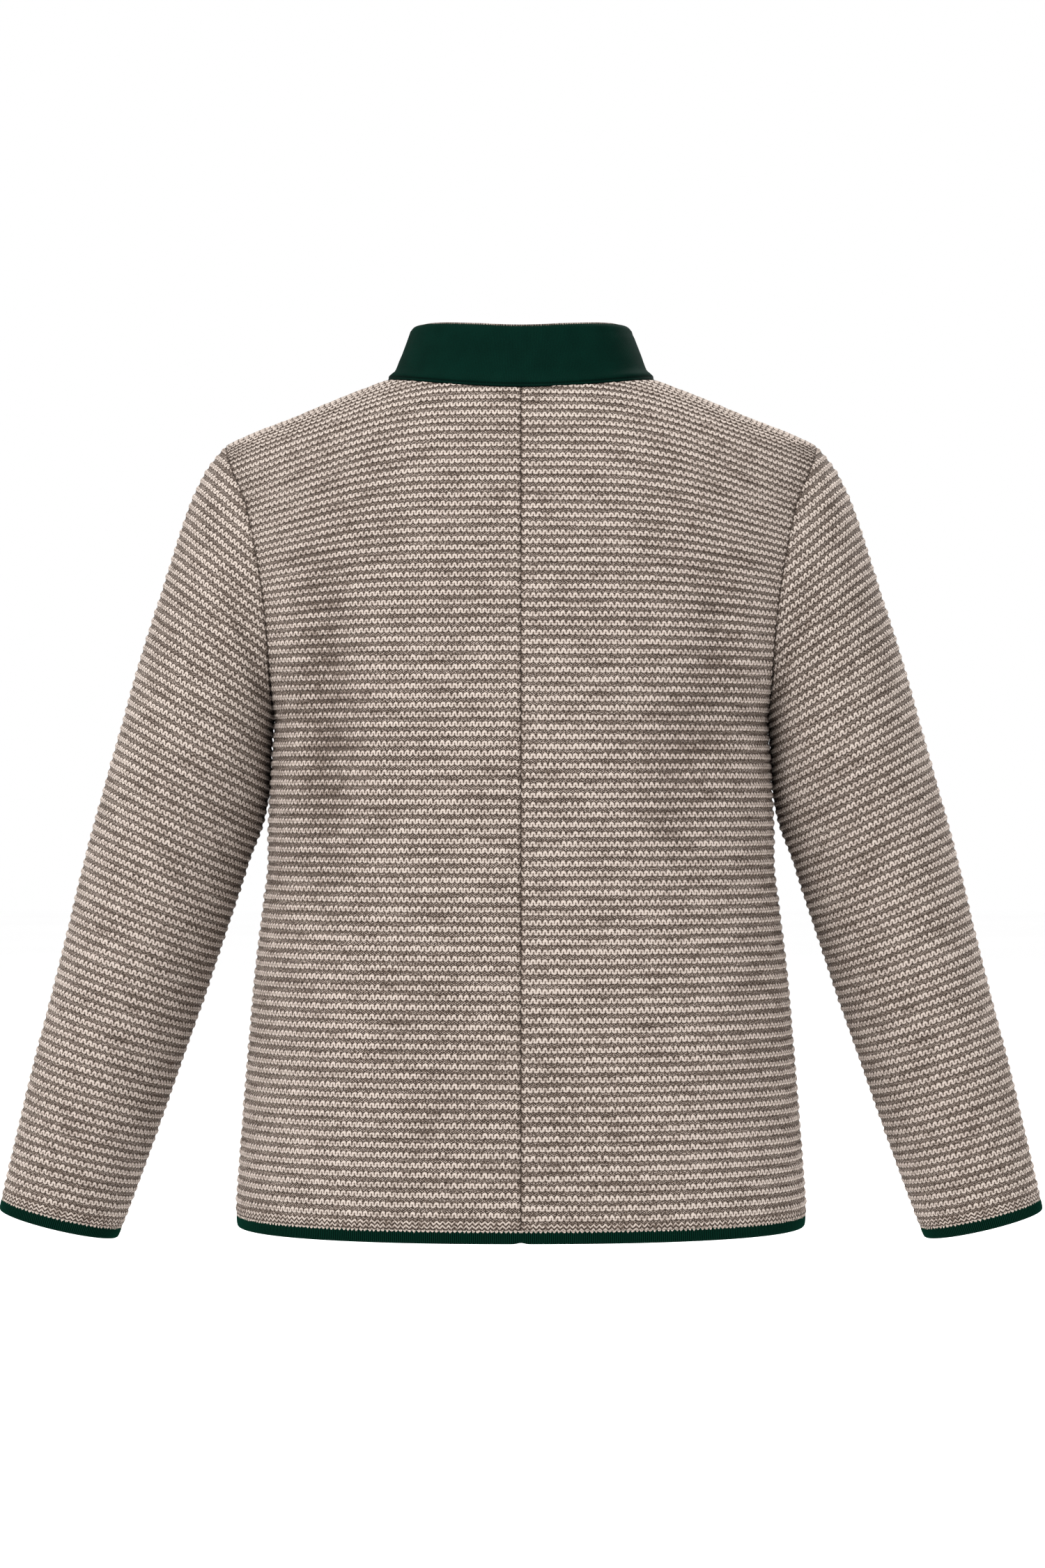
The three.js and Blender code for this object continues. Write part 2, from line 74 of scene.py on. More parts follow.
SHOULDER_DROP = 63.0  # drop of the top row from there to the shoulder tip
LEVEL_BELOW = -213.0  # knit rows under this height run level

STITCH = 4.45         # width of one stitch
SLEEVE_RIDGE = 7.15   # height of one ridge of the sleeve
RIB = 1.55            # pitch of the edge ribs
RIB_HEIGHT = 0.3
BUMP_SWAY = 0.05      # share of a ridge by which single bumps stand higher or lower
GROOVE_DEPTH = 0.95   # yarn between the ridges, below the smooth outer face
RIDGE_RISE = 1.75
INNER_COLUMNS = 4     # half stitches for each column of points on the plain inner face
TURN_POINTS = 240     # points round a sleeve
ROWS_BETWEEN = 18     # rows of points for each stretch of the sleeve table

# half width of the torso: z, half width
WIDTH = [
    (2, 103), (-4, 119), (-15, 147), (-26, 173), (-36, 199), (-48, 226), (-255, 188.8), (-300, 191.6),
    (-340, 193.5), (-372, 194), (-400, 197.5), (-454, 204), (-507, 208.5), (-561, 213), (-614, 217),
    (-634, 218), (-646, 216.5),
]
# depth of the torso: z, back, front, squareness
DEPTH = [
    (2, 66, 62, 2.0), (-4, 70, 66, 2.0), (-15, 77, 73, 2.0), (-26, 84, 79, 2.0), (-36, 89.5, 85, 2.0),
    (-48, 96, 91, 2.02), (-75, 107, 103, 2.05), (-110, 118, 113, 2.1), (-150, 126, 120, 2.15),
    (-200, 131, 125, 2.2), (-255, 133, 127, 2.25), (-300, 133, 128, 2.3), (-357, 131, 128, 2.3),
    (-454, 130.5, 129, 2.3), (-561, 134, 132, 2.3), (-634, 136.5, 134.5, 2.3), (-646, 136, 134, 2.3),
]
# armhole from shoulder tip to underarm: z, back x, back y, front x, front y
ARMHOLE = [
    (-48, 226, 0, 226, 0), (-53, 224.5, 21, 223.5, 20), (-68, 219.5, 40, 215, 38), (-91, 209, 54, 203, 50),
    (-119.5, 202, 64, 195, 58), (-151.5, 196, 68, 189.5, 61), (-183.5, 192, 66, 187.5, 59),
    (-212, 190.3, 56, 187.5, 51), (-235, 189.5, 40, 188.2, 37), (-250, 189, 21, 188.7, 20),
    (-255, 188.8, 0, 188.8, 0),
]
# sleeve rings: outer x, outer z, inner x, inner z, half depth, middle y, share of the armhole's shape
SLEEVE = [
    (226, -48, 188.8, -255, 68, 0, 1), (232, -54, 189.9, -262, 68, 0, 0.82),
    (241.5, -67, 190.9, -270, 67.5, 0, 0.62), (252, -88, 191.7, -280, 67, 0, 0.42),
    (262, -116, 192.2, -293, 66, -1, 0.25), (275, -157, 193.4, -312, 65, -2, 0.1),
    (291.5, -208, 198.4, -337, 63.5, -3, 0), (306.5, -261, 208.5, -364, 61.5, -4, 0),
    (322, -315, 220, -399, 59.5, -6, 0), (336.5, -368, 232.5, -436, 57.5, -8, 0),
    (350, -423, 245, -473, 55.5, -11, 0), (364, -477, 260, -515, 53, -14, 0),
    (378.5, -532, 276, -560, 50.5, -17, 0), (391.5, -585, 292.5, -606, 48, -20, 0),
    (401, -625, 308.5, -648, 46, -22, 0),
]
# soft troughs of the back: x, top z, bottom z, half width, depth
BACK_TROUGHS = [(146, -92, -420, 19, 9), (-146, -110, -330, 19, 5.5), (-118, -215, -390, 22, 4),
                (64, -420, -600, 30, 2.2), (-30, -470, -640, 26, 1.8), (-178, -380, -600, 16, 2.4),
                (104, -40, -150, 30, 1.6), (-96, -50, -170, 26, 1.8)]
FRONT_TROUGHS = [(132, -110, -330, 22, 5), (-138, -100, -290, 20, 4.5), (96, -380, -600, 28, 2.4),
                 (-104, -360, -560, 26, 2.6)]
# soft folds of the sleeve back under the arm: from x, z to x, z, half width, depth
SLEEVE_FOLDS = [(219, -160, 193, -246, 7, 2.6), (236, -176, 206, -262, 9, 1.6)]
FOLD_SHADE = 0.045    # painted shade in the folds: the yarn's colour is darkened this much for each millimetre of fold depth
# collar rows: share of the rise, share of the lean
COLLAR_ROWS = [(0, 0), (0.11, 0.1), (0.22, 0.33), (0.45, 0.52), (0.72, 0.76), (1, 1)]

# knit rows of the body: height at the middle, ridge pitch
RIDGE_PITCH = [(-640, 7.25), (-300, 7.2), (-120, 6.6), (-20, 6.2), (-6, 4.2), (6, 3.0), (11, 1.9),
               (13.8, 0.9), (20, 0.4)]
# how far a knit row drops from the middle to the armhole: height at the middle, drop
ROW_DROP = [(-700, 0), (LEVEL_BELOW, 0), (-165, 6), (-117, 17), (-68, 30), (-20, 45),
            (SHOULDER_ROW, SHOULDER_DROP)]
# slope of the sleeve's knit rows: outer z, degrees
SLEEVE_ROW_SLOPE = [(-625, 13.97), (-532, 17), (-423, 20), (-315, 25), (-208, 31), (-116, 38), (-48, 42)]


class Curve:
    """Smooth line through the rows of a table, read at any key."""

    def __init__(self, keys, values):
        order = np.argsort(keys)
        self.keys = np.asarray(keys, float)[order]
        self.values = np.asarray(values, float)[order]

    def __call__(self, key):
        keys, values = self.keys, self.values
        key = np.asarray(key, float)
        last = len(keys) - 1
        i = np.clip(np.searchsorted(keys, key, side="right") - 1, 0, last - 1)
        before = np.maximum(i - 1, 0)
        after = np.minimum(i + 2, last)
        step = keys[i + 1] - keys[i]
        t = (key - keys[i]) / step
        slope_a = self._slope(i + 1, before) * self._fit(step)
        slope_b = self._slope(after, i) * self._fit(step)
        t = self._fit(t)
        t2 = t * t
        t3 = t2 * t
        return ((2 * t3 - 3 * t2 + 1) * values[i] + (t3 - 2 * t2 + t) * slope_a
                + (3 * t2 - 2 * t3) * values[i + 1] + (t3 - t2) * slope_b)

    def _fit(self, numbers):
        return numbers.reshape(numbers.shape + (1,) * (self.values.ndim - 1))

    def _slope(self, high, low):
        run = self.keys[high] - self.keys[low]
        return (self.values[high] - self.values[low]) / self._fit(run)


def column_curve(table, column):
    return Curve([row[0] for row in table], [row[column] for row in table])


def straight(table, key):
    rows = sorted(table)
    return np.interp(key, [row[0] for row in rows], [row[1] for row in rows])


def smooth_step(value, low, high):
    t = np.clip((value - low) / (high - low), 0, 1)
    return t * t * (3 - 2 * t)


def swell(gap, width):
    return np.exp(-(gap / width) ** 2)


def unit(vectors):
    return vectors / np.maximum(np.linalg.norm(vectors, axis=-1, keepdims=True), 1e-9)


def closed_curve(points):
    """Even places on a smooth closed line through the points."""
    stations = len(points)
    wrapped = np.concatenate([points[-3:], points, points[:4]])
    return Curve(np.arange(-3, stations + 4), wrapped)(np.linspace(0, stations, TURN_POINTS + 1))


DEPTH_OF = {"back": column_curve(DEPTH, 1), "front": column_curve(DEPTH, 2)}
POWER_OF = column_curve(DEPTH, 3)


def torso_width_curve(side):
    column = 1 if side == "back" else 3
    rows = list(WIDTH)
    for row in ARMHOLE[1:-1]:
        z, x, y = row[0], row[column], row[column + 1]
        depth, power = float(DEPTH_OF[side](z)), float(POWER_OF(z))
        rows.append((z, x / (1 - (y / depth) ** power) ** (1 / power)))
    return column_curve(rows, 1)


WIDTH_OF = {"back": torso_width_curve("back"), "front": torso_width_curve("front")}
SHOULDER_HEIGHT = Curve([row[1] for row in WIDTH[:6]], [row[0] for row in WIDTH[:6]])


def armhole_loop():
    """The armhole's stations, and an even ring of points, from the shoulder tip round the back."""
    back = [(row[1], row[2], row[0]) for row in ARMHOLE]
    front = [(row[3], -row[4], row[0]) for row in ARMHOLE[1:-1]][::-1]
    loop = np.array(back + front, float)
    return loop, closed_curve(loop)


ARMHOLE_POINTS, ARMHOLE_LINE = armhole_loop()


def armhole_point(side, z):
    half = len(ARMHOLE_LINE) // 2
    line = ARMHOLE_LINE[:half + 1] if side == "back" else ARMHOLE_LINE[half:][::-1]
    x = np.interp(-z, -line[:, 2], line[:, 0])
    y = np.interp(-z, -line[:, 2], np.abs(line[:, 1]))
    return x, y


def trough_depth(side, x, z):
    depth = np.zeros_like(x)
    for middle, top, bottom, half_width, deep in (BACK_TROUGHS if side == "back" else FRONT_TROUGHS):
        along = np.clip((top - z) / (top - bottom), 0, 1)
        depth += deep * np.sin(np.pi * along) * swell(x - middle, half_width)
    return depth


def sleeve_fold_depth(points):
    x, z = np.abs(points[:, 0]), points[:, 2]
    depth = np.zeros(len(points))
    for x0, z0, x1, z1, half_width, deep in SLEEVE_FOLDS:
        run_x, run_z = x1 - x0, z1 - z0
        t = np.clip(((x - x0) * run_x + (z - z0) * run_z) / (run_x ** 2 + run_z ** 2), 0, 1)
        gap = np.hypot(x - x0 - t * run_x, z - z0 - t * run_z)
        depth += deep * np.sin(np.pi * (0.1 + 0.8 * t)) * swell(gap, half_width)
    return depth * smooth_step(points[:, 1], 0, 25)


def neck_height(side, x):
    if side == "back":
        return NECK_BACK_Z + (NECK_SIDE_Z - NECK_BACK_Z) * (x / NECK_HALF) ** 2
    return NECK_FRONT_Z + (NECK_SIDE_Z - NECK_FRONT_Z) * (np.abs(x) / NECK_HALF) ** FRONT_NECK_POWER


def torso_depth_at(side, hand, x, z):
    """Distance of the cloth's face from the side plane, at a place x, z of one half."""
    z = np.minimum(z, NECK_SIDE_Z)
    width, depth, power = WIDTH_OF[side](z), DEPTH_OF[side](z), POWER_OF(z)
    share = np.clip(np.abs(x) / width, 0, 1)
    out = (1 - share ** power) ** (1 / power)
    return depth * out - trough_depth(side, hand * x, z) * np.minimum(1, 3 * out)


def under_lap(x):
    return UNDERLAP * smooth_step(x, UNDERLAP_FROM, UNDERLAP_TO)


def turn_to_front(depth, hand, x):
    """The same distance on the front, where the right half slides behind the left."""
    return -depth + under_lap(hand * x) if hand < 0 else -depth


def row_levels(low, high):
    """Heights of the ridges at the middle, from hem to shoulder."""
    levels = [low]
    while levels[-1] < high:
        levels.append(levels[-1] + float(straight(RIDGE_PITCH, levels[-1])))
    levels = np.array(levels)
    stretch = (high - low) / (levels[-1] - low)
    return low + (levels - low) * stretch


BODY_LEVELS = row_levels(HEM_Z, SHOULDER_ROW)


def bend_share(q, level):
    """Share of a row's drop that is reached at a share q of its length."""
    t = np.clip((level - LEVEL_BELOW) / (SHOULDER_ROW - LEVEL_BELOW), 0, 1)
    start = 0.45 + (0.177 - 0.45) * t
    ease = 0.9 + (0.339 - 0.9) * t
    s = np.clip((q - start) / (1 - start), 0, 1)
    return np.where(s < ease, s * s / (2 * ease), s - ease / 2) / (1 - ease / 2)


def body_rows(side, hand, ridges, samples=150):
    """Knit rows of one body half as lines of points, for the given ridge numbers."""
    level = np.interp(ridges, np.arange(len(BODY_LEVELS)), BODY_LEVELS)[:, None]
    drop = straight(ROW_DROP, level)
    end_z = level - drop
    arm_x, arm_y = armhole_point(side, end_z)
    on_arm = end_z > ARMHOLE[-1][0]
    end_x = np.where(on_arm, arm_x, WIDTH_OF[side](end_z))
    end_y = np.where(on_arm, arm_y, 0.0)
    first_x = JOIN if side == "back" else -FRONT_EDGE
    q = np.sin(np.linspace(0, np.pi / 2, samples))[None, :]
    x = first_x + (end_x - first_x) * q
    bend = bend_share(np.abs(x) / end_x, level)
    z = level - drop * bend
    top = SHOULDER_ROW - SHOULDER_DROP * bend_share(np.abs(x) / SHOULDER_TIP, SHOULDER_ROW)
    seam_line = np.where(x > NECK_HALF, SHOULDER_HEIGHT(np.clip(x, NECK_HALF, SHOULDER_TIP)), top)
    z = z + (seam_line - top) * smooth_step(level, -25, SHOULDER_ROW)
    y = torso_depth_at(side, hand, x, z)
    y = y + (end_y - y[:, -1:]) * smooth_step(q, 0.9, 1.0)
    y = np.where(np.abs(level - SHOULDER_ROW) < 0.01, np.where(x > NECK_HALF, 0.0, y), y) + JOIN
    if side == "front":
        y = turn_to_front(y, hand, x)
    points = np.stack([hand * x, y, z], axis=2)
    lengths = run_lengths(points)
    over = z - neck_height(side, x)
    starts = np.zeros(len(ridges))
    for i in range(len(ridges)):
        above = over[i] > 1e-6
        if above[0]:
            j = int(np.argmax(~above))
            t = over[i, j - 1] / (over[i, j - 1] - over[i, j])
            starts[i] = lengths[i, j - 1] + t * (lengths[i, j] - lengths[i, j - 1])
    return points, lengths, starts, lengths[:, -1]


def run_lengths(points):
    steps = np.linalg.norm(np.diff(points, axis=1), axis=2)
    return np.concatenate([np.zeros((len(points), 1)), np.cumsum(steps, axis=1)], axis=1)


def sleeve_net():
    """Points of the sleeve: along its length, round from the outer line by the back."""
    loop = ARMHOLE_POINTS
    turn = 2 * np.pi * np.arange(len(loop)) / len(loop)

    def ring(ox, oz, ix, iz, depth, y):
        return np.stack([(ox + ix) / 2 + (ox - ix) / 2 * np.cos(turn), y + depth * np.sin(turn),
                         (oz + iz) / 2 + (oz - iz) / 2 * np.cos(turn)], axis=1)

    shift = loop - ring(*SLEEVE[0][:5], 0)
    rings = np.array([ring(*row[:6]) + shift * row[6] for row in SLEEVE])
    keys = np.concatenate([[0], np.cumsum([math.dist(a[:2], b[:2]) for a, b in zip(SLEEVE, SLEEVE[1:])])])
    last = len(keys) - 1
    fine = np.interp(np.linspace(0, last, last * ROWS_BETWEEN + 1), np.arange(last + 1), keys)
    along = Curve(keys, rings)(fine)
    return np.swapaxes(closed_curve(np.swapaxes(along, 0, 1)), 0, 1)


SLEEVE_NET = sleeve_net()
OUTER_LENGTHS = run_lengths(SLEEVE_NET[:, 0][None])[0]
SLEEVE_RIDGES = int(round(OUTER_LENGTHS[-1] / SLEEVE_RIDGE))


def sleeve_rows(ridges):
    """Knit rows of the left sleeve, each as its front and back half. Ridge 0 is at the cuff."""
    half = SLEEVE_NET.shape[1] // 2
    lines = []
    for ridge in ridges:
        reach = OUTER_LENGTHS[-1] * (1 - ridge / SLEEVE_RIDGES)
        start = at_length(SLEEVE_NET[:, 0], OUTER_LENGTHS, reach)
        slope = math.radians(float(straight(SLEEVE_ROW_SLOPE, start[2])))
        away = SLEEVE_NET - start
        far = away[..., 0] * math.sin(slope) - away[..., 2] * math.cos(slope)
        far[-1] = np.maximum(far[-1], 1e-9)
        below = far >= 0
        hit = np.maximum(np.argmax(below, axis=0), 1)
        turns = np.arange(SLEEVE_NET.shape[1])
        low, high = far[hit - 1, turns], far[hit, turns]
        t = np.clip(low / (low - high), 0, 1)[:, None]
        line = SLEEVE_NET[hit - 1, turns] * (1 - t) + SLEEVE_NET[hit, turns] * t
        cut = far[0] > 1e-6
        cut[0] = cut[-1] = False
        fronts, backs = slice(None, half - 1, -1), slice(None, half + 1)
        lines.append([half_row(line[pick], cut[pick], far[0, pick], SLEEVE_NET[0, pick])
                      for pick in (fronts, backs)])
    return lines


def half_row(line, cut, edge_distance, edge):
    """The part of a row up to the armhole seam."""
    if not cut.any():
        return line
    j = int(np.argmax(cut))
    a, b = edge_distance[j - 1], edge_distance[j]
    t = np.clip(a / (a - b), 0, 1) if a < 0 else 0.0
    return np.concatenate([line[:j], (edge[j - 1] * (1 - t) + edge[j] * t)[None]])


def sleeve_rows_as_lines(hand, ridges, samples=90):
    points, lengths, starts, ends = [], [], [], []
    for parts in sleeve_rows(ridges):
        halves = []
        for line in parts:
            length = run_lengths(line[None])[0]
            reach = np.linspace(0, max(length[-1], 1e-6), samples)
            halves.append((at_length(line, length, reach), reach))
        (front, front_run), (back, back_run) = halves
        whole = np.concatenate([front[::-1], back[1:]])
        run = np.concatenate([-front_run[::-1], back_run[1:]])
        points.append(whole * [hand, 1, 1])
        lengths.append(run)
        starts.append(run[0])
        ends.append(run[-1])
    return np.array(points), np.array(lengths), np.array(starts), np.array(ends)


def at_length(points, lengths, wanted):
    return np.stack([np.interp(wanted, lengths, points[:, i]) for i in range(3)], axis=-1)


def net_faces(index, flip):
    a, b = index[:-1, :-1].ravel(), index[:-1, 1:].ravel()
    c, d = index[1:, 1:].ravel(), index[1:, :-1].ravel()
    faces = []
    whole = (a != b) & (c != d)
    faces.extend(np.stack([a, b, c, d], axis=1)[whole].tolist())
    upper = (a == b) & (c != d)
    faces.extend(np.stack([a, c, d], axis=1)[upper].tolist())
    lower = (a != b) & (c == d)
    faces.extend(np.stack([a, b, c], axis=1)[lower].tolist())
    return [face[::-1] for face in faces] if flip else faces


def point_normals(points, faces):
    normals = np.zeros_like(points)
    triangles = []
    for face in faces:
        triangles.append((face[0], face[1], face[2]))
        if len(face) == 4:
            triangles.append((face[0], face[2], face[3]))
    triangles = np.array(triangles)
    a, b, c = (points[triangles[:, i]] for i in range(3))
    cross = np.cross(b - a, c - a)
    for i in range(3):
        np.add.at(normals, triangles[:, i], cross)
    return unit(normals)


def ring_quads(rings, count, base=0, close_rings=False, close_count=True):
    """Faces between rings of points that are numbered in order."""
    faces = []
    for i in range(rings if close_rings else rings - 1):
        j = (i + 1) % rings
        for k in range(count if close_count else count - 1):
            m = (k + 1) % count
            corners = (i * count + k, i * count + m, j * count + m, j * count + k)
            faces.append([base + corner for corner in corners])
    return faces


def zip_edges(first, second, first_share, second_share):
    """Triangles between two lines of points that run side by side."""
    faces = []
    i = j = 0
    while i < len(first) - 1 or j < len(second) - 1:
        take_first = j == len(second) - 1 or (
            i < len(first) - 1 and first_share[i + 1] <= second_share[j + 1])
        if take_first:
            faces.append([first[i], first[i + 1], second[j]])
            i += 1
        else:
            faces.append([first[i], second[j + 1], second[j]])
            j += 1
    return [face for face in faces if len(set(face)) == 3]


def edge_shares(index, axis_values):
    keep = [k for k in range(len(index)) if k == 0 or index[k] != index[k - 1]]
    return [index[k] for k in keep], [axis_values[k] for k in keep]


def close_rim(index, inner_net, row_pick, column_pick):
    """Triangles round the four edges, between the outer face and the inner one."""
    rows, columns = range(index.shape[0]), range(index.shape[1])
    faces = []
    for outer_line, outer_axis, inner_line, inner_axis in (
            (index[0], columns, inner_net[0], column_pick),
            (index[-1], columns, inner_net[-1], column_pick),
            (index[:, 0], rows, inner_net[:, 0], row_pick),
            (index[:, -1], rows, inner_net[:, -1], row_pick)):
        first, first_share = edge_shares(outer_line, outer_axis)
        second, second_share = edge_shares(inner_line, inner_axis)
        faces.extend(zip_edges(first, second, first_share, second_share))
    return faces


def chance(seed, *numbers):
    """Even, repeatable scatter between -1 and 1 for whole numbers."""
    total = np.zeros(np.broadcast(*numbers).shape) + seed * 12.9898
    for k, number in enumerate(numbers):
        total = total + np.asarray(number) * (78.233 + 37.719 * k)
    return (np.sin(total) * 43758.5453) % 1.0 * 2 - 1


def knit_relief(ridge, column, seam, foot):
    """Height of the purl ridges over the smooth outer face."""
    u = ridge % 1.0
    wave = np.cos(2 * np.pi * column)
    crest = np.exp(-(np.abs(u - 0.5 - 0.03 * wave) / 0.33) ** 3)
    dots = swell(np.minimum(u, 1 - u), 0.12)
    row, stitch = np.floor(ridge), np.floor(column + 0.25)
    uneven = 0.22 * chance(3, row, stitch) + 0.14 * chance(5, row, 0 * stitch)
    height = -GROOVE_DEPTH + RIDGE_RISE * crest + dots * (0.3 - 0.25 * wave) + crest * uneven
    height *= 0.45 + 0.55 * foot
    return height * seam


def knit_points(make_rows, ridges):
    """Points of the smooth outer face, two for each stitch: every other one sways up or down.

    Points stand on rows and columns, and each row may start and stop short of the whole.
    """
    sway = BUMP_SWAY * np.sin(np.pi * (ridges % 1.0)) ** 2
    sway[0] = sway[-1] = 0
    plain = make_rows(ridges)
    variants = (make_rows(ridges + sway), make_rows(ridges - sway))
    starts, ends = plain[2], plain[3]
    pitch = STITCH / 2
    low = math.floor(starts.min() / pitch) - 1
    high = math.ceil(ends.max() / pitch) + 1
    low -= low % INNER_COLUMNS
    columns = np.arange(low, high + 1)
    net, marks, index = [], [], []
    for r, ridge in enumerate(ridges):
        inside = columns[(columns * pitch > starts[r] + 0.7) & (columns * pitch < ends[r] - 0.7)]
        middle = np.empty((len(inside), 3))
        for parity in (0, 1):
            points, lengths = variants[parity][0][r], variants[parity][1][r]
            pick = inside % 2 == parity
            middle[pick] = at_length(points, lengths, inside[pick] * pitch)
        first_column = int(inside[0] - low) if len(inside) else int(np.clip(
            math.ceil(ends[r] / pitch) - low, 0, len(columns)))
        start = at_length(plain[0][r], plain[1][r], starts[r])
        end = at_length(plain[0][r], plain[1][r], ends[r])
        runs = np.concatenate([[starts[r]], inside * pitch, [ends[r]]])
        near = np.minimum(runs - starts[r], ends[r] - runs)
        marks.extend(np.stack([np.full(len(runs), ridge), runs / STITCH, near, runs], axis=1))
        along = np.arange(len(columns)) - first_column + 1
        index.append(len(net) + np.clip(along, 0, len(middle) + 1))
        net.extend([start, *middle, end])
    return np.array(net), np.array(marks), np.array(index)


def knit_wall(name, make_rows, fold_depth, ridge_count, steps, first_ridge, sunk_start, flip):
    """A cut piece of chunky knit: ridged outside, plainer inside, closed at its edges."""
    count = int(round(ridge_count * steps))
    base, marks, index = knit_points(make_rows, np.linspace(0, ridge_count, count + 1))
    faces = net_faces(index, flip)
    normals = point_normals(base, faces)
    top_gap = (ridge_count - marks[:, 0]) * 6.0
    # seam: low along the pieces' edges, 1 from 2.2 mm inward; it sinks the relief there, and in the colour
    # it gives painted shade along the seams' grooves
    seam = smooth_step(np.minimum(marks[:, 2], top_gap), -0.6, 2.2)
    foot = smooth_step(marks[:, 0], 0.0, 1.2)
    fold = fold_depth(base)
    # painted shade: the knit's colour is darker where a fold is deep
    painted_fold_shade = np.clip(1 - FOLD_SHADE * fold, 0.4, 1) ** 1.5
    marks[:, 0] += first_ridge
    height = knit_relief(marks[:, 0], marks[:, 1], seam, foot)
    if fold_depth is sleeve_fold_depth:
        height -= fold
    height -= sunk_start * (1 - smooth_step(marks[:, 3], 0.0, 2.6))
    outer = base + normals * height[:, None]

    last_column = index.shape[1] - 1
    row_pick = sorted({*range(0, count + 1, steps), count})
    column_pick = sorted({*range(0, last_column, INNER_COLUMNS), last_column})
    inner_index = index[np.ix_(row_pick, column_pick)]
    used, inverse = np.unique(inner_index, return_inverse=True)
    inner_net = inverse.reshape(inner_index.shape) + len(outer)
    inner = base[used] - normals[used] * INSIDE_DEPTH
    inner_faces = net_faces(inner_net, not flip)
    points = np.concatenate([outer, inner])
    # the colour mark: on the outer face the seam mark times the painted fold shade; the plain inner face
    # carries at most 0.6 of the seam mark, so it is darker
    all_marks = np.concatenate([np.column_stack([marks[:, :2], seam * painted_fold_shade]),
                                np.column_stack([marks[used, :2], np.minimum(seam[used], 0.6)])])
    rim = close_rim(index, inner_net, row_pick, column_pick)
    return add_mesh(name, points, faces + inner_faces + rim, all_marks)


def set_down(name, data):
    piece = bpy.data.objects.new(name, data)
    bpy.context.scene.collection.objects.link(piece)
    return piece


def add_mesh(name, points, faces, marks=None):
    mesh = bpy.data.meshes.new(name)
    mesh.from_pydata((np.asarray(points) * MM).tolist(), [], [list(map(int, face)) for face in faces])
    if marks is not None:
        layer = mesh.attributes.new("stitch", "FLOAT_VECTOR", "POINT")
        layer.data.foreach_set("vector", np.asarray(marks, np.float32).ravel())
    tidy = bmesh.new()
    tidy.from_mesh(mesh)
    bmesh.ops.recalc_face_normals(tidy, faces=tidy.faces)
    tidy.to_mesh(mesh)
    tidy.free()
    mesh.polygons.foreach_set("use_smooth", [True] * len(mesh.polygons))
    return set_down(name, mesh)


def sweep(name, edge, facing, travel, closed):
    """A ribbed band: its cross-section carried along the edge it is knitted to."""
    runs = run_lengths(edge[None])[0]
    count = len(edge)
    if closed:
        runs = runs[:-1]
        edge, facing = edge[:-1], facing[:-1]
        count -= 1
    wave = np.cos(2 * np.pi * runs / RIB)
    if not closed:
        ends = np.minimum(runs, runs[-1] - runs)
        travel = travel * (1 - END_DRAW * swell(ends, END_REACH))[:, None]
        edge = edge.copy()
        edge[0] += END_MEET * unit(edge[0] - edge[1])
        edge[-1] += END_MEET * unit(edge[-1] - edge[-2])
    points, marks = [], []
    for far, inward, rib in BAND_PROFILE:
        out = facing * (RIB_HEIGHT * rib * wave[:, None] - inward)
        points.append(edge + travel * far + out)
        marks.append(np.stack([np.full(count, far), runs, np.full(count, rib)], axis=1))
    points = np.concatenate(points)
    marks = np.concatenate(marks)
    rings = len(BAND_PROFILE)
    faces = ring_quads(rings, count, close_rings=True, close_count=closed)
    if not closed:
        faces.append([i * count for i in range(rings)])
        faces.append([i * count + count - 1 for i in range(rings)][::-1])
    return add_mesh(name, points, faces, marks)


# across a band: distance from the join, inward, share of the ribs
BAND_PROFILE = [
    (-0.6, 0.9, 0.3), (0.9, 0.35, 1.0), (4.5, 0.3, 1.0), (7.5, 0.6, 1.0), (9.2, 1.0, 1.0), (10.0, 1.7, 0.7),
    (10.3, 2.5, 0.2), (10.0, 3.4, 0.3), (8.8, 3.9, 0.4), (4.5, 3.6, 0.4), (-0.6, 3.2, 0.2),
]
END_DRAW = 0.09       # share by which a band is shorter at its open ends
END_REACH = 3.5       # and how far along it that is seen
END_MEET = 0.2        # open ends run on this far, to meet the next band


def even_line(points, pitch):
    lengths = run_lengths(points[None])[0]
    count = max(2, int(round(lengths[-1] / pitch)))
    return at_length(points, lengths, np.linspace(0, lengths[-1], count + 1))


def level_facing(line):
    along = np.gradient(line, axis=0)
    facing = unit(np.stack([along[:, 1], -along[:, 0], np.zeros(len(line))], axis=1))
    sign = np.sign(np.sum(facing * line * [1, 1, 0], axis=1).sum())
    return facing * sign


def hem_band(name, side, hand):
    points = body_rows(side, hand, np.array([0.0]))[0][0]
    line = even_line(points, RIB / 4)
    return sweep(name, line, level_facing(line), np.array([0.0, 0.0, -1.0]), False)


def cuff_band(name, hand):
    ring = SLEEVE_NET[-1] * [hand, 1, 1]
    before = SLEEVE_NET[-1 - ROWS_BETWEEN] * [hand, 1, 1]
    line = even_line(ring, RIB / 4)
    axis = unit(ring[:-1].mean(axis=0) - before[:-1].mean(axis=0))
    out = line - ring[:-1].mean(axis=0)
    along = np.gradient(line, axis=0)
    along[0] = along[-1] = line[1] - line[-2]
    facing = unit(np.cross(along, axis))
    facing *= np.sign(np.sum(facing * out, axis=1).sum())
    return sweep(name, line, facing, axis, True)


def front_edge_line(hand, top, bottom):
    z = np.linspace(top, bottom, 160)
    x = np.full_like(z, -FRONT_EDGE)
    y = turn_to_front(torso_depth_at("front", hand, x, z) + SEAM / 2, hand, x)
    return np.stack([hand * x, y, z], axis=1)


def front_band(name, hand):
    line = even_line(front_edge_line(hand, NECK_FRONT_Z + 0.3, HEM_Z - BAND - SEAM), RIB / 4)
    along = np.gradient(line, axis=0)
    facing = unit(np.stack([np.zeros(len(line)), along[:, 2], -along[:, 1]], axis=1))
    facing *= -np.sign(facing[:, 1:2])
    return sweep(name, line, facing, np.array([-float(hand), 0.0, 0.0]), False)


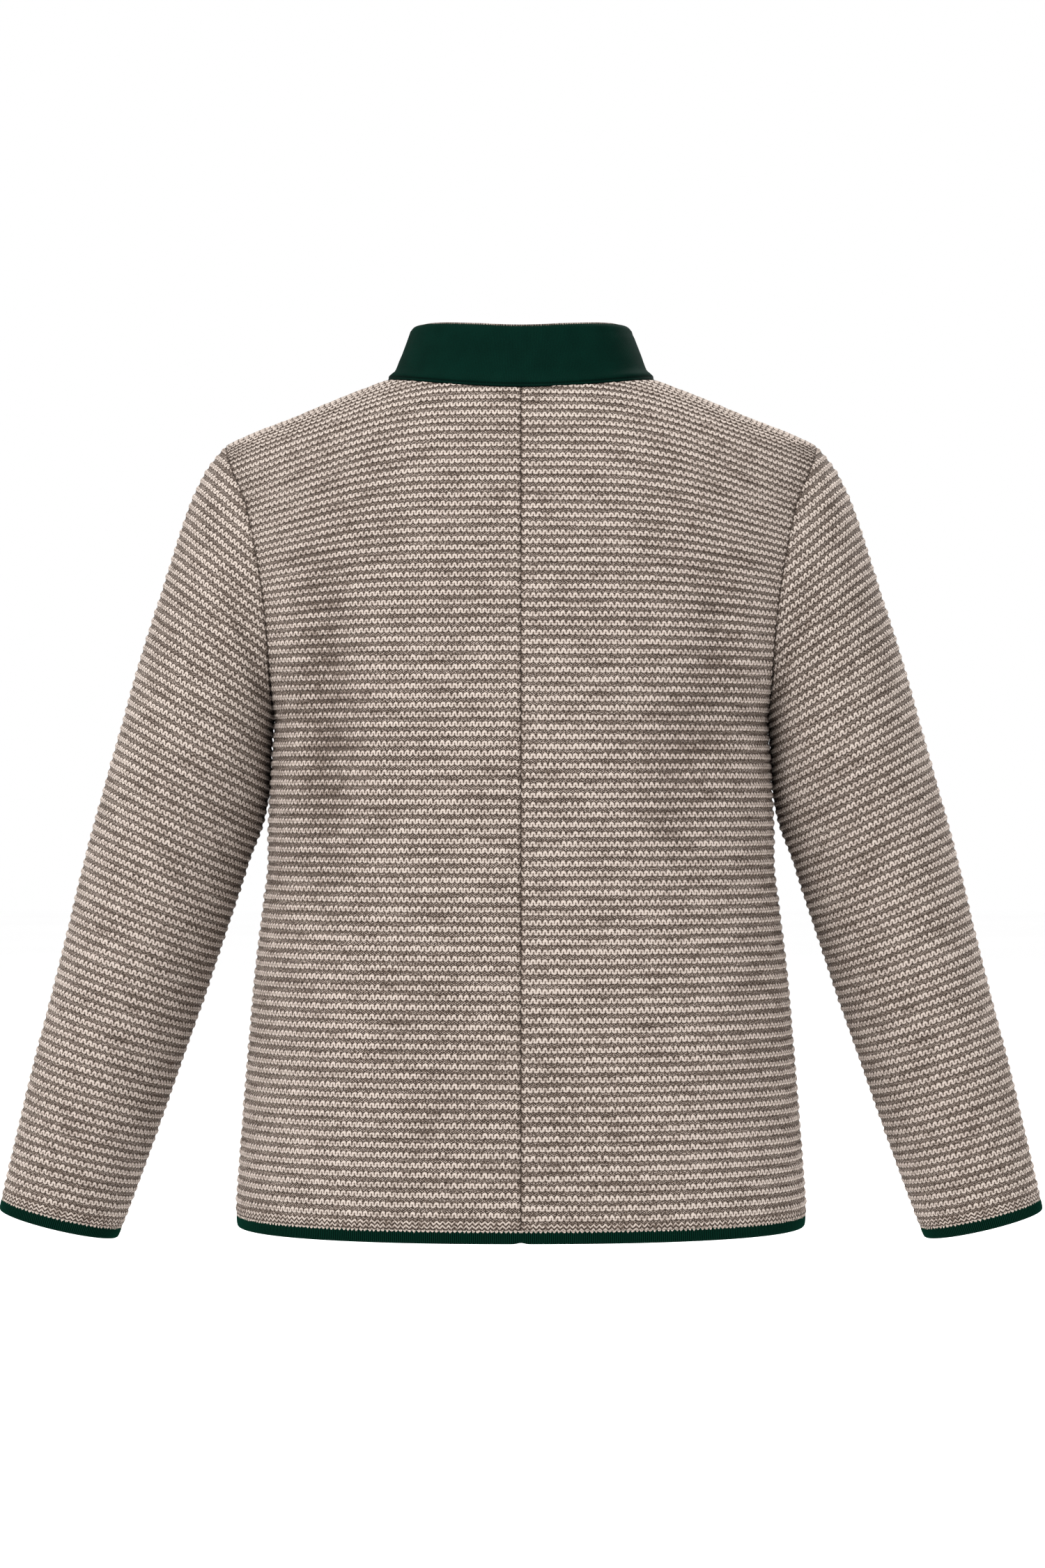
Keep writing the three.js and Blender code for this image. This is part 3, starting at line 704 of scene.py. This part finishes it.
def neck_line():
    """The neck seam from the left front round the back to the right front."""
    stations = []
    front_x = np.concatenate([np.linspace(COLLAR_END, 60, 24), np.linspace(62, NECK_HALF, 26)])
    back_x = np.linspace(NECK_HALF, 0, 40)[1:]
    for hand in (1, -1):
        part = []
        for side, xs in (("front", front_x), ("back", back_x)):
            z = neck_height(side, xs)
            y = torso_depth_at(side, hand, xs, z)
            if side == "front":
                y = turn_to_front(y, hand, xs)
            part.append(np.stack([hand * xs, y, z], axis=1))
        stations.append(np.concatenate(part))
    line = np.concatenate([stations[0], stations[1][::-1][1:]])
    return even_line(line, 2.2)


def collar_net(line, rows):
    to_back = np.clip(line[:, 1] / COLLAR_TURN, -1.5, 1)[:, None]
    rise = COLLAR_RISE + np.where(to_back > 0, COLLAR_BACK_RISE, -COLLAR_FRONT_RISE) * to_back
    lean = COLLAR_LEAN - COLLAR_BACK_LEAN * np.maximum(to_back, 0)
    inward = unit(np.stack([-line[:, 0], -line[:, 1] * 0.9, np.zeros(len(line))], axis=1))
    shape = Curve(np.linspace(0, 1, len(COLLAR_ROWS)), np.array(COLLAR_ROWS))(rows)
    net = []
    for up, back in shape:
        point = line + inward * lean * back
        point[:, 2] += (rise * up)[:, 0] + SEAM
        net.append(point)
    return np.array(net), inward


def closed_sheet(name, outer, inner, marks):
    """A sheet between two grids of points, with its four edges closed."""
    rows, columns = outer.shape[:2]
    offset = rows * columns
    faces = ring_quads(rows, columns, close_count=False)
    faces.extend(face[::-1] for face in ring_quads(rows, columns, offset, close_count=False))
    edge = (list(range(columns)) + [i * columns + columns - 1 for i in range(1, rows)]
            + [(rows - 1) * columns + j for j in range(columns - 2, -1, -1)]
            + [i * columns for i in range(rows - 2, 0, -1)])
    for k, a in enumerate(edge):
        b = edge[(k + 1) % len(edge)]
        faces.append([a, b, b + offset, a + offset])
    points = np.concatenate([outer.reshape(-1, 3), inner.reshape(-1, 3)])
    return add_mesh(name, points, faces, np.concatenate([marks, marks]))


def grid_normals(net, outward):
    along = np.gradient(net, axis=1)
    up = np.gradient(net, axis=0)
    normal = unit(np.cross(along, up))
    sign = np.sign(np.sum(normal * outward[None], axis=2, keepdims=True))
    return normal * np.where(sign == 0, 1, sign)


def build_collar():
    line = neck_line()
    runs = run_lengths(line[None])[0]
    rows = np.linspace(0, 1, 22)
    net, inward = collar_net(line, rows)
    normals = grid_normals(net, -inward)
    height = run_lengths(np.swapaxes(net, 0, 1))
    height = np.swapaxes(height, 0, 1)
    full = height[-1:]
    # the stitched line above the seam and the soft fold under the top edge
    dent = -0.55 * swell(height - STITCHED_LINE, 0.8) + 0.35 * swell(height - 4.4, 1.5)
    to_right = smooth_step(-line[:, 0], -20, 70)[None] * smooth_step(line[:, 1], 0, 40)[None]
    dent = dent - 0.6 * to_right * swell(full - height - 5.5, 1.4)
    dent = dent + 0.5 * np.sin(runs / 23.0 + 1.0)[None] * np.sin(np.pi * height / full) * 0.8
    dent = dent - 0.9 * swell(full - height, 1.1)
    outer = net + normals * dent[..., None]
    inside = net - normals * COLLAR_LAYER
    marks = np.stack([height, np.tile(runs, (len(rows), 1)), full - height], axis=2).reshape(-1, 3)
    green = closed_sheet("collar_outside", outer, inside, marks)

    # the knit strip inside: stands a little over the green one at the back
    fine_line = even_line(line, STITCH / 2)
    fine_runs = run_lengths(fine_line[None])[0]
    ridge_count, steps = 7, 5
    levels = np.linspace(0, 1, ridge_count * steps + 1)
    knit_net, knit_inward = collar_net(fine_line, levels)
    knit_normals = grid_normals(knit_net, -knit_inward)
    to_back = smooth_step(fine_line[:, 1], 20, 62)[None, :, None]
    knit_net = knit_net + np.array([0, 0, 1.3]) * to_back * (levels ** 6)[:, None, None]
    outside = knit_net - knit_normals * (COLLAR_LAYER + SEAM)
    ridges = np.tile((levels * ridge_count)[:, None], (1, len(fine_runs)))
    stitches = np.tile(fine_runs / STITCH, (len(levels), 1))
    relief = knit_relief(ridges, stitches, np.ones_like(ridges), np.ones_like(ridges)) * 0.7
    relief = relief * (1 - levels ** 8)[:, None]
    inner = knit_net - knit_normals * (2 * COLLAR_LAYER + SEAM + relief[..., None])
    marks = np.stack([ridges, stitches, np.ones_like(ridges)], axis=2).reshape(-1, 3)
    knit = closed_sheet("collar_inside", outside, inner, marks)
    return green, knit


def circle(sides):
    turns = [2 * math.pi * k / sides for k in range(sides)]
    return [(math.cos(turn), math.sin(turn)) for turn in turns]


def lathe(profile, sides):
    points = [(radius * x, radius * y, height) for radius, height in profile for x, y in circle(sides)]
    return points, ring_quads(len(profile), sides)


def circle_spline(curve, x, y, radius, sides):
    spline = curve.splines.new("POLY")
    spline.points.add(sides - 1)
    for point, (across, up) in zip(spline.points, circle(sides)):
        point.co = (x + radius * across, y + radius * up, 0, 1)
    spline.use_cyclic_u = True


HOLE_PLACES = [(2.6, 2.6), (-2.6, 2.6), (-2.6, -2.6), (2.6, -2.6)]
THREAD_RADIUS = 0.27
THREAD_LIFT = 2.1     # from under the holes to over the button's face


def button_mesh():
    """Horn button: a dished disc with four holes inside a rounded rim."""
    plate = bpy.data.curves.new("button_plate", "CURVE")
    plate.dimensions = "2D"
    plate.fill_mode = "BOTH"
    plate.extrude = 0.85
    plate.bevel_depth = 0.25
    plate.bevel_resolution = 2
    circle_spline(plate, 0, 0, 6.9, 48)
    for x, y in HOLE_PLACES:
        circle_spline(plate, x, y, 1.25, 16)
    holder = set_down("button_plate", plate)
    bpy.context.view_layer.update()
    mesh = bpy.data.meshes.new_from_object(holder)
    bpy.data.objects.remove(holder)
    body = bmesh.new()
    body.from_mesh(mesh)
    bmesh.ops.translate(body, verts=body.verts, vec=(0, 0, 1.3))
    profile = [(6.6, 0.15), (8.6, 0.2), (9.7, 0.8), (10.0, 1.7), (9.8, 2.7), (9.1, 3.4), (8.2, 3.6),
               (7.4, 3.3), (6.9, 2.6), (6.6, 2.2), (6.6, 0.15)]
    points, faces = lathe(profile, 56)
    corners = [body.verts.new(point) for point in points]
    for face in faces:
        body.faces.new([corners[k] for k in face])
    bmesh.ops.remove_doubles(body, verts=body.verts, dist=0.02)
    bmesh.ops.recalc_face_normals(body, faces=body.faces)
    bmesh.ops.scale(body, verts=body.verts, vec=(MM, MM, MM))
    body.to_mesh(mesh)
    body.free()
    mesh.name = "button"
    mesh.polygons.foreach_set("use_smooth", [True] * len(mesh.polygons))
    return mesh


def thread_loops():
    """Sewing thread: two pairs of strands across the holes."""
    points, faces = [], []
    for a, b in ((0, 3), (1, 2)):
        for aside in (-0.28, 0.28):
            start = np.array([HOLE_PLACES[a][0] + aside, HOLE_PLACES[a][1], 0.6])
            end = np.array([HOLE_PLACES[b][0] + aside, HOLE_PLACES[b][1], 0.6])
            path = []
            for t in np.linspace(0, 1, 15):
                lift = THREAD_LIFT * math.sin(math.pi * t) ** 0.35
                path.append(start * (1 - t) + end * t + np.array([0, 0, lift]))
            add_tube(points, faces, np.array(path), THREAD_RADIUS, 8)
    return points, faces


def add_tube(points, faces, path, radius, sides):
    along = np.gradient(path, axis=0)
    base = len(points)
    for k, point in enumerate(path):
        way = unit(along[k])
        side = unit(np.cross(way, [1.0, 0.0, 0.0]))
        up = np.cross(way, side)
        points.extend(point + radius * (side * x + up * y) for x, y in circle(sides))
    rows = len(path)
    faces.extend(ring_quads(rows, sides, base))
    faces.append([base + m for m in range(sides)][::-1])
    faces.append([base + (rows - 1) * sides + m for m in range(sides)])


class Signal:
    """A number that changes over a surface, carried by a node's socket."""

    def __init__(self, finish, socket):
        self.finish = finish
        self.socket = socket

    def math(self, operation, *inputs):
        sockets = dict(enumerate(inputs))
        return self.finish.signal("ShaderNodeMath", {"operation": operation}, sockets)

    def __add__(self, other):
        return self.math("ADD", self, other)

    __radd__ = __add__

    def __sub__(self, other):
        return self.math("SUBTRACT", self, other)

    def __rsub__(self, other):
        return self.math("SUBTRACT", other, self)

    def __mul__(self, other):
        return self.math("MULTIPLY", self, other)

    __rmul__ = __mul__

    def __truediv__(self, other):
        return self.math("DIVIDE", self, other)

    def __abs__(self):
        return self.math("ABSOLUTE", self)

    def floor(self):
        return self.math("FLOOR", self)

    def part(self):
        return self.math("FRACT", self)

    def wave(self):
        """Cosine with one turn for each whole number."""
        return self.math("COSINE", self * (2 * math.pi))

    def least(self, other):
        return self.math("MINIMUM", self, other)

    def most(self, other):
        return self.math("MAXIMUM", self, other)

    def between(self, low, high):
        """Smooth 0 to 1 from low to high."""
        return self.finish.signal(
            "ShaderNodeMapRange", {"interpolation_type": "SMOOTHSTEP"},
            {"Value": self, "From Min": low, "From Max": high, "To Min": 0.0, "To Max": 1.0})


class Finish:
    """One material, and the nodes that make its colour and its grain."""

    def __init__(self, name):
        self.material = bpy.data.materials.new(name)
        self.material.use_nodes = True
        self.tree = self.material.node_tree
        self.shader = self.tree.nodes["Principled BSDF"]

    def node(self, kind, settings, sockets):
        node = self.tree.nodes.new(kind)
        for key, value in settings.items():
            setattr(node, key, value)
        for key, value in sockets.items():
            if isinstance(value, Signal):
                value = value.socket
            if isinstance(value, bpy.types.NodeSocket):
                self.tree.links.new(value, node.inputs[key])
            else:
                node.inputs[key].default_value = value
        return node

    def signal(self, kind, settings, sockets, output=0):
        return Signal(self, self.node(kind, settings, sockets).outputs[output])

    def marks(self):
        """The three numbers that each point of a cloth piece carries."""
        place = self.node("ShaderNodeAttribute", {"attribute_name": "stitch"}, {}).outputs["Vector"]
        parts = self.node("ShaderNodeSeparateXYZ", {}, {0: place})
        return [Signal(self, parts.outputs[k]) for k in range(3)]

    def place(self, x, y, z=0.0):
        return self.node("ShaderNodeCombineXYZ", {}, {0: x, 1: y, 2: z}).outputs[0]

    def noise(self, place, scale, detail=2.0, rough=0.5):
        return self.signal("ShaderNodeTexNoise", {"noise_dimensions": "3D"},
                           {"Vector": place, "Scale": scale, "Detail": detail, "Roughness": rough})

    def patches(self, x, y, z=0.0, detail=2.0, rough=0.5):
        return self.noise(self.place(x, y, z), 1.0, detail, rough)

    def scatter(self, place):
        """A number for each whole place, with no blend between them."""
        return self.signal("ShaderNodeTexWhiteNoise", {"noise_dimensions": "3D"}, {"Vector": place})

    def own_place(self):
        return self.node("ShaderNodeTexCoord", {}, {}).outputs["Object"]

    def blend(self, factor, first, second):
        node = self.node("ShaderNodeMix", {"data_type": "RGBA", "blend_type": "MIX", "clamp_factor": True},
                         {0: factor, 6: first, 7: second})
        return node.outputs[2]

    def finish(self, colour, height, depth, rough, specular, strength):
        shader = self.shader
        self.tree.links.new(colour, shader.inputs["Base Color"])
        bump = self.node("ShaderNodeBump", {}, {"Height": height, "Distance": depth, "Strength": strength})
        self.tree.links.new(bump.outputs[0], shader.inputs["Normal"])
        if isinstance(rough, Signal):
            self.tree.links.new(rough.socket, shader.inputs["Roughness"])
        else:
            shader.inputs["Roughness"].default_value = rough
        shader.inputs["Specular IOR Level"].default_value = specular
        return self.material


def shade(red, green, blue):
    """Linear colour from the eight-bit colour that a swatch shows."""
    values = []
    for part in (red, green, blue):
        c = part / 255
        values.append(c / 12.92 if c <= 0.04045 else ((c + 0.055) / 1.055) ** 2.4)
    return (*values, 1.0)


def melange_knit():
    """Beige and brown melange yarn in purl ridges."""
    f = Finish("melange_knit")
    # seam, the third mark, is painted shade: darker along the seams' grooves and in the folds
    ridge, column, seam = f.marks()
    u = ridge.part()
    drift = f.patches(ridge * 1.1, column * 0.6) - 0.5
    lean = f.patches(ridge * 0.8, column * 0.5, 7.0) - 0.5
    turn = column + 0.5 * lean
    over = (turn + 0.5).part() - 0.5
    under = turn.part() - 0.5
    v = u - 0.16 * drift
    mid = (v - 0.5) * (v - 0.5)
    each = f.scatter(f.place((ridge - 0.02).floor(), (turn * 2.0 + 0.5).floor()))
    speck = f.patches(ridge * 6.5, column * 4.0, rough=0.6)
    fibre = f.patches(ridge * 13.0, column * 7.0, rough=0.6)
    mottle = f.patches(ridge * 0.5, column * 0.2, detail=3.0, rough=0.6)
    streak = f.patches((ridge * 2.0).floor() * 3.7, column * 0.11)

    shift = 0.07 * (each - 0.5)
    high = v - 0.62 - shift
    deep = v - 0.38 - shift
    top = over * over * 4.4 + high * high * 27.0
    bottom = under * under * 4.1 + deep * deep * 28.0
    near = top.least(bottom)
    side = abs(over) - 0.25
    link = 1 - (side * side * 90.0 + mid * 40.0).between(0.4, 1.1)
    yarn = (1 - near.between(0.6, 1.2 + 1.0 * (speck - 0.5))).most(link)
    notch = (over * over).least(under * under) * 80.0 + mid * 130.0
    yarn = yarn * (0.28 + 0.72 * notch.between(0.3, 1.1))
    # painted shade: each loop is lighter at its middle and darker towards its edges; the scatter and fibres
    # are the yarn's own
    strand_and_loop_shade = (0.70 + 0.30 * each) * (1.10 - 0.50 * near.least(1.2)) + 1.1 * (fibre - 0.5)
    band = 1 - abs(v - 0.5).between(0.26, 0.35)
    bead = (turn * 2.0).wave() * (ridge * 5.4).wave()
    # the ground between the ridges: yarn with lighter beads, darker partly as painted shade of its recess
    ground = 0.33 + 0.36 * bead + 1.8 * (speck - 0.5)
    # where no yarn covers the ridge band, the holes under and between the loops take the dark tone 0.14:
    # painted shade in the holes
    tone = strand_and_loop_shade * yarn + (1 - yarn) * (0.14 * band + ground * (1 - band))

    foot = 1 - ridge.between(0.75, 1.15)
    leg = abs((abs((turn + 0.5).part() - 0.5) * 1.1 + ridge * 2.3).part() - 0.5) * 2.0
    legs = leg.between(0.2, 0.9) * (0.4 + 0.5 * each) + 0.16 + 1.2 * (speck - 0.5)
    tone = tone * (1 - foot) + foot * legs
    tone = tone * (0.82 + 0.4 * mottle) * (0.5 + 1.1 * streak)
    # painted shade along the seams and in the folds
    tone = tone * (0.45 + 0.55 * seam)
    low = f.blend(tone.between(0.0, 0.45), shade(26, 20, 16), shade(94, 81, 72))
    colour = f.blend(tone.between(0.34, 0.95), low, shade(182, 170, 161))
    loops = yarn * (0.9 - 0.35 * near.least(1.2))
    beads = (1 - yarn) * (1 - band) * 0.25 * (bead + 1.0)
    height = loops + beads + speck * 0.25 + fibre * 0.1
    return f.finish(colour, height, 0.0010, 0.92, 0.15, 0.8)


def rib_knit():
    """Dark green fine rib of the hem, cuffs and front edges, with beige loops at the join."""
    f = Finish("green_rib_knit")
    far, run, rib = f.marks()
    wave = (run / RIB).wave()
    loops = f.patches(far * 1.4, run * 1.2, detail=3.0, rough=0.6)
    row = (far / 1.1 + 0.12 * wave).wave()
    # painted shade of the relief: darker in the rib valleys and between the rows, lighter on the ribs; the
    # loops noise is the yarn's own
    tone = 0.5 + 0.40 * wave + 0.08 * row + 0.7 * (loops - 0.5)
    colour = f.blend(tone.between(0.05, 0.95), shade(0, 8, 4), shade(3, 38, 28))
    loop = (run / 3.4 + 0.5 * f.patches(run * 0.2, 0.0)).part() - 0.5
    size = f.patches(run * 0.45, 3.0, detail=1.0)
    joined = 1 - (far + 7.0 * loop * loop - 0.7 - 2.2 * size).between(-0.35, 0.25)
    joined = joined * rib.between(0.1, 0.29)
    speck = f.patches(far * 2.0, run * 2.2)
    beige = f.blend(speck.between(0.35, 0.65), shade(96, 80, 70), shade(222, 209, 198))
    colour = f.blend(joined, colour, beige)
    height = wave * 0.35 + row * 0.15 + loops * 0.2 + joined * 0.8
    return f.finish(colour, height, 0.0006, 0.9, 0.03, 0.6)


def collar_knit():
    """Dark green smooth knit of the stand collar."""
    f = Finish("green_collar_knit")
    up, run, down = f.marks()
    wave = (run / 1.3).wave()
    row = (up / 1.05 + 0.2 * wave).wave()
    fibre = f.patches(up * 1.6, run * 1.6, detail=3.0, rough=0.6)
    cloud = f.patches(up * 0.05, run * 0.05)
    # painted shade of the relief: slightly darker in the rib valleys and between the rows
    tone = 0.45 + 0.09 * wave + 0.03 * row + 1.0 * (fibre - 0.5) + 0.3 * (cloud - 0.5)
    stitched = (1 - abs(up - STITCHED_LINE).between(0.25, 0.8)) * (0.45 + 0.55 * (run / 2.6).wave())
    # painted shade: a dark line in the groove of the stitched line; the stitches on it are lighter thread
    tone = tone - 0.35 * (1 - abs(up - STITCHED_LINE).between(0.2, 1.2)) + 0.1 * stitched
    # painted shade: darker along the neck seam at the collar's foot
    tone = tone * (0.55 + 0.45 * up.between(0.0, 1.8))
    colour = f.blend(tone.between(0.0, 1.0), shade(0, 12, 8), shade(3, 36, 28))
    fuzz = f.patches(down * 1.2, run * 0.9, 4.0, detail=3.0, rough=0.7)
    edge = (1 - down.between(0.1, 1.3)) * fuzz.between(0.55, 0.72)
    colour = f.blend(edge * 0.8, colour, shade(120, 112, 100))
    height = wave * 0.2 + row * 0.08 + fibre * 0.6 + stitched * 0.3
    return f.finish(colour, height, 0.0004, 0.88, 0.03, 0.5)


def horn():
    """Brown horn with paler drifting grain."""
    f = Finish("brown_horn")
    place = f.own_place()
    grain = f.noise(f.node("ShaderNodeMapping", {}, {"Vector": place, "Scale": (90, 340, 90)}).outputs[0],
                    1.0, 4.0, 0.55)
    fleck = f.noise(place, 900.0)
    colour = f.blend(grain.between(0.3, 0.7), shade(42, 25, 15), shade(139, 101, 66))
    colour = f.blend(fleck.between(0.6, 0.75) * 0.35, colour, shade(30, 18, 11))
    return f.finish(colour, grain + fleck * 0.3, 0.0001, 0.32 + 0.15 * fleck, 0.5, 0.4)


def sewing_thread():
    f = Finish("green_thread")
    place = f.own_place()
    twist = f.noise(place, 2500.0)
    colour = f.blend(twist.between(0.3, 0.7), shade(6, 30, 22), shade(28, 66, 52))
    return f.finish(colour, twist, 0.0001, 0.8, 0.3, 0.5)


def pale_floor():
    f = Finish("pale_floor")
    place = f.own_place()
    cloud = f.noise(place, 1.5)
    colour = f.blend(cloud.between(0.3, 0.7), shade(253, 253, 253), shade(254, 254, 254))
    return f.finish(colour, cloud, 0.0001, 0.9, 0.1, 0.05)


def dress(piece, material, slot, *nodes):
    piece.data.materials.clear()
    piece.data.materials.append(material)
    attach(piece, "root")
    if nodes:
        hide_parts(*nodes)


def build_knit_pieces(knit):
    for name, hand in (("left", 1), ("right", -1)):
        for side in ("back", "front"):
            steps, area, sunk = (6, 0.160, 0.5) if side == "back" else (4, 0.156, 0.0)
            shift = 0.0 if hand > 0 else 0.32
            piece = knit_wall(
                f"{side}_knit_{name}", lambda ridges, s=side, h=hand: body_rows(s, h, ridges),
                lambda points, s=side: trough_depth(s, points[:, 0], points[:, 2]),
                len(BODY_LEVELS) - 1, steps, shift, sunk, (side == "back") == (hand > 0))
            dress(piece, knit, "chunky_knit", f"{side}_{name}")
        piece = knit_wall(
            f"sleeve_knit_{name}", lambda ridges, h=hand: sleeve_rows_as_lines(h, ridges), sleeve_fold_depth,
            SLEEVE_RIDGES, 5, 0.0, 0.0, hand < 0)
        dress(piece, knit, "chunky_knit", f"sleeve_{name}")


def build_bands(rib):
    for name, hand in (("left", 1), ("right", -1)):
        for side in ("back", "front"):
            piece = hem_band(f"hem_rib_{side}_{name}", side, hand)
            dress(piece, rib, "green_rib", f"hem_{side}_{name}")
        piece = cuff_band(f"cuff_rib_{name}", hand)
        dress(piece, rib, "green_rib", f"cuff_{name}")
        piece = front_band(f"front_rib_{name}", hand)
        dress(piece, rib, "green_rib", f"front_band_{name}")


def build_buttons(material, thread_material):
    mesh = button_mesh()
    points, faces = thread_loops()
    for i in range(BUTTON_COUNT):
        z = BUTTON_TOP_Z - i * BUTTON_STEP
        edge = front_edge_line(1, z + 6, z - 6)
        way = edge[0] - edge[-1]
        up = Vector((0, way[1], way[2])).normalized()
        out = Vector((0, -up.z, up.y))
        seat = Vector((0, float(edge[len(edge) // 2][1]), z)) + out * BUTTON_SEAT
        right = up.cross(out)
        turn = Matrix((right, up, out)).transposed().to_4x4()
        turn.translation = seat * MM
        piece_mesh = mesh.copy()
        piece_mesh.transform(turn)
        dress(set_down(f"horn_button_{i + 1}", piece_mesh), material, "horn", f"button_{i + 1}")
        thread = add_mesh(f"button_thread_{i + 1}", points, faces)
        thread.data.transform(turn)
        dress(thread, thread_material, "green_rib")


def build_stage():
    mesh = bpy.data.meshes.new("floor")
    size = 14.0
    z = -0.86
    corners = [(-size, -size, z), (size, -size, z), (size, size, z), (-size, size, z)]
    mesh.from_pydata(corners, [], [(0, 1, 2, 3)])
    floor = set_down("floor", mesh)
    floor.data.materials.append(pale_floor())


# name, place, size, watts
LAMPS = [("key", (1.7, 2.2, 2.0), 1.2, 110), ("fill", (-2.6, 1.6, 0.3), 2.0, 12),
         ("front_key", (-1.7, -2.2, 2.0), 1.2, 110), ("front_fill", (2.6, -1.6, 0.3), 2.0, 12),
         ("top", (0, 0.3, 2.4), 2.2, 15)]


def build_lights():
    world = bpy.data.worlds.new("studio")
    world.use_nodes = True
    background = world.node_tree.nodes["Background"].inputs
    background["Color"].default_value = (1, 1, 1, 1)
    background["Strength"].default_value = 1.0
    bpy.context.scene.world = world
    bpy.context.scene.view_settings.view_transform = "Standard"
    middle = Vector((0, 0, -0.32))
    for name, place, size, power in LAMPS:
        light = bpy.data.lights.new(name, "AREA")
        light.shape = "RECTANGLE"
        light.size = light.size_y = size
        light.energy = power
        lamp = set_down(name, light)
        lamp.location = place
        lamp.rotation_euler = (middle - Vector(place)).to_track_quat("-Z", "Y").to_euler()


def build_camera():
    distance = 3.0
    picture_height = 1.20375
    camera = bpy.data.cameras.new("camera")
    camera.sensor_fit = "VERTICAL"
    camera.sensor_height = 36.0
    camera.lens = camera.sensor_height * distance / picture_height
    camera.dof.use_dof = False
    holder = set_down("camera", camera)
    holder.location = (-0.0011, distance, -0.3066)
    holder.rotation_euler = (math.pi / 2, 0, math.pi)
    bpy.context.scene.camera = holder


build_camera()
build_stage()
build_lights()
knit = melange_knit()
rib = rib_knit()
build_knit_pieces(knit)
build_bands(rib)
green_collar, knit_collar = build_collar()
dress(green_collar, collar_knit(), "green_collar_knit", "collar_outer")
dress(knit_collar, knit, "chunky_knit", "collar_inner")
build_buttons(horn(), sewing_thread())
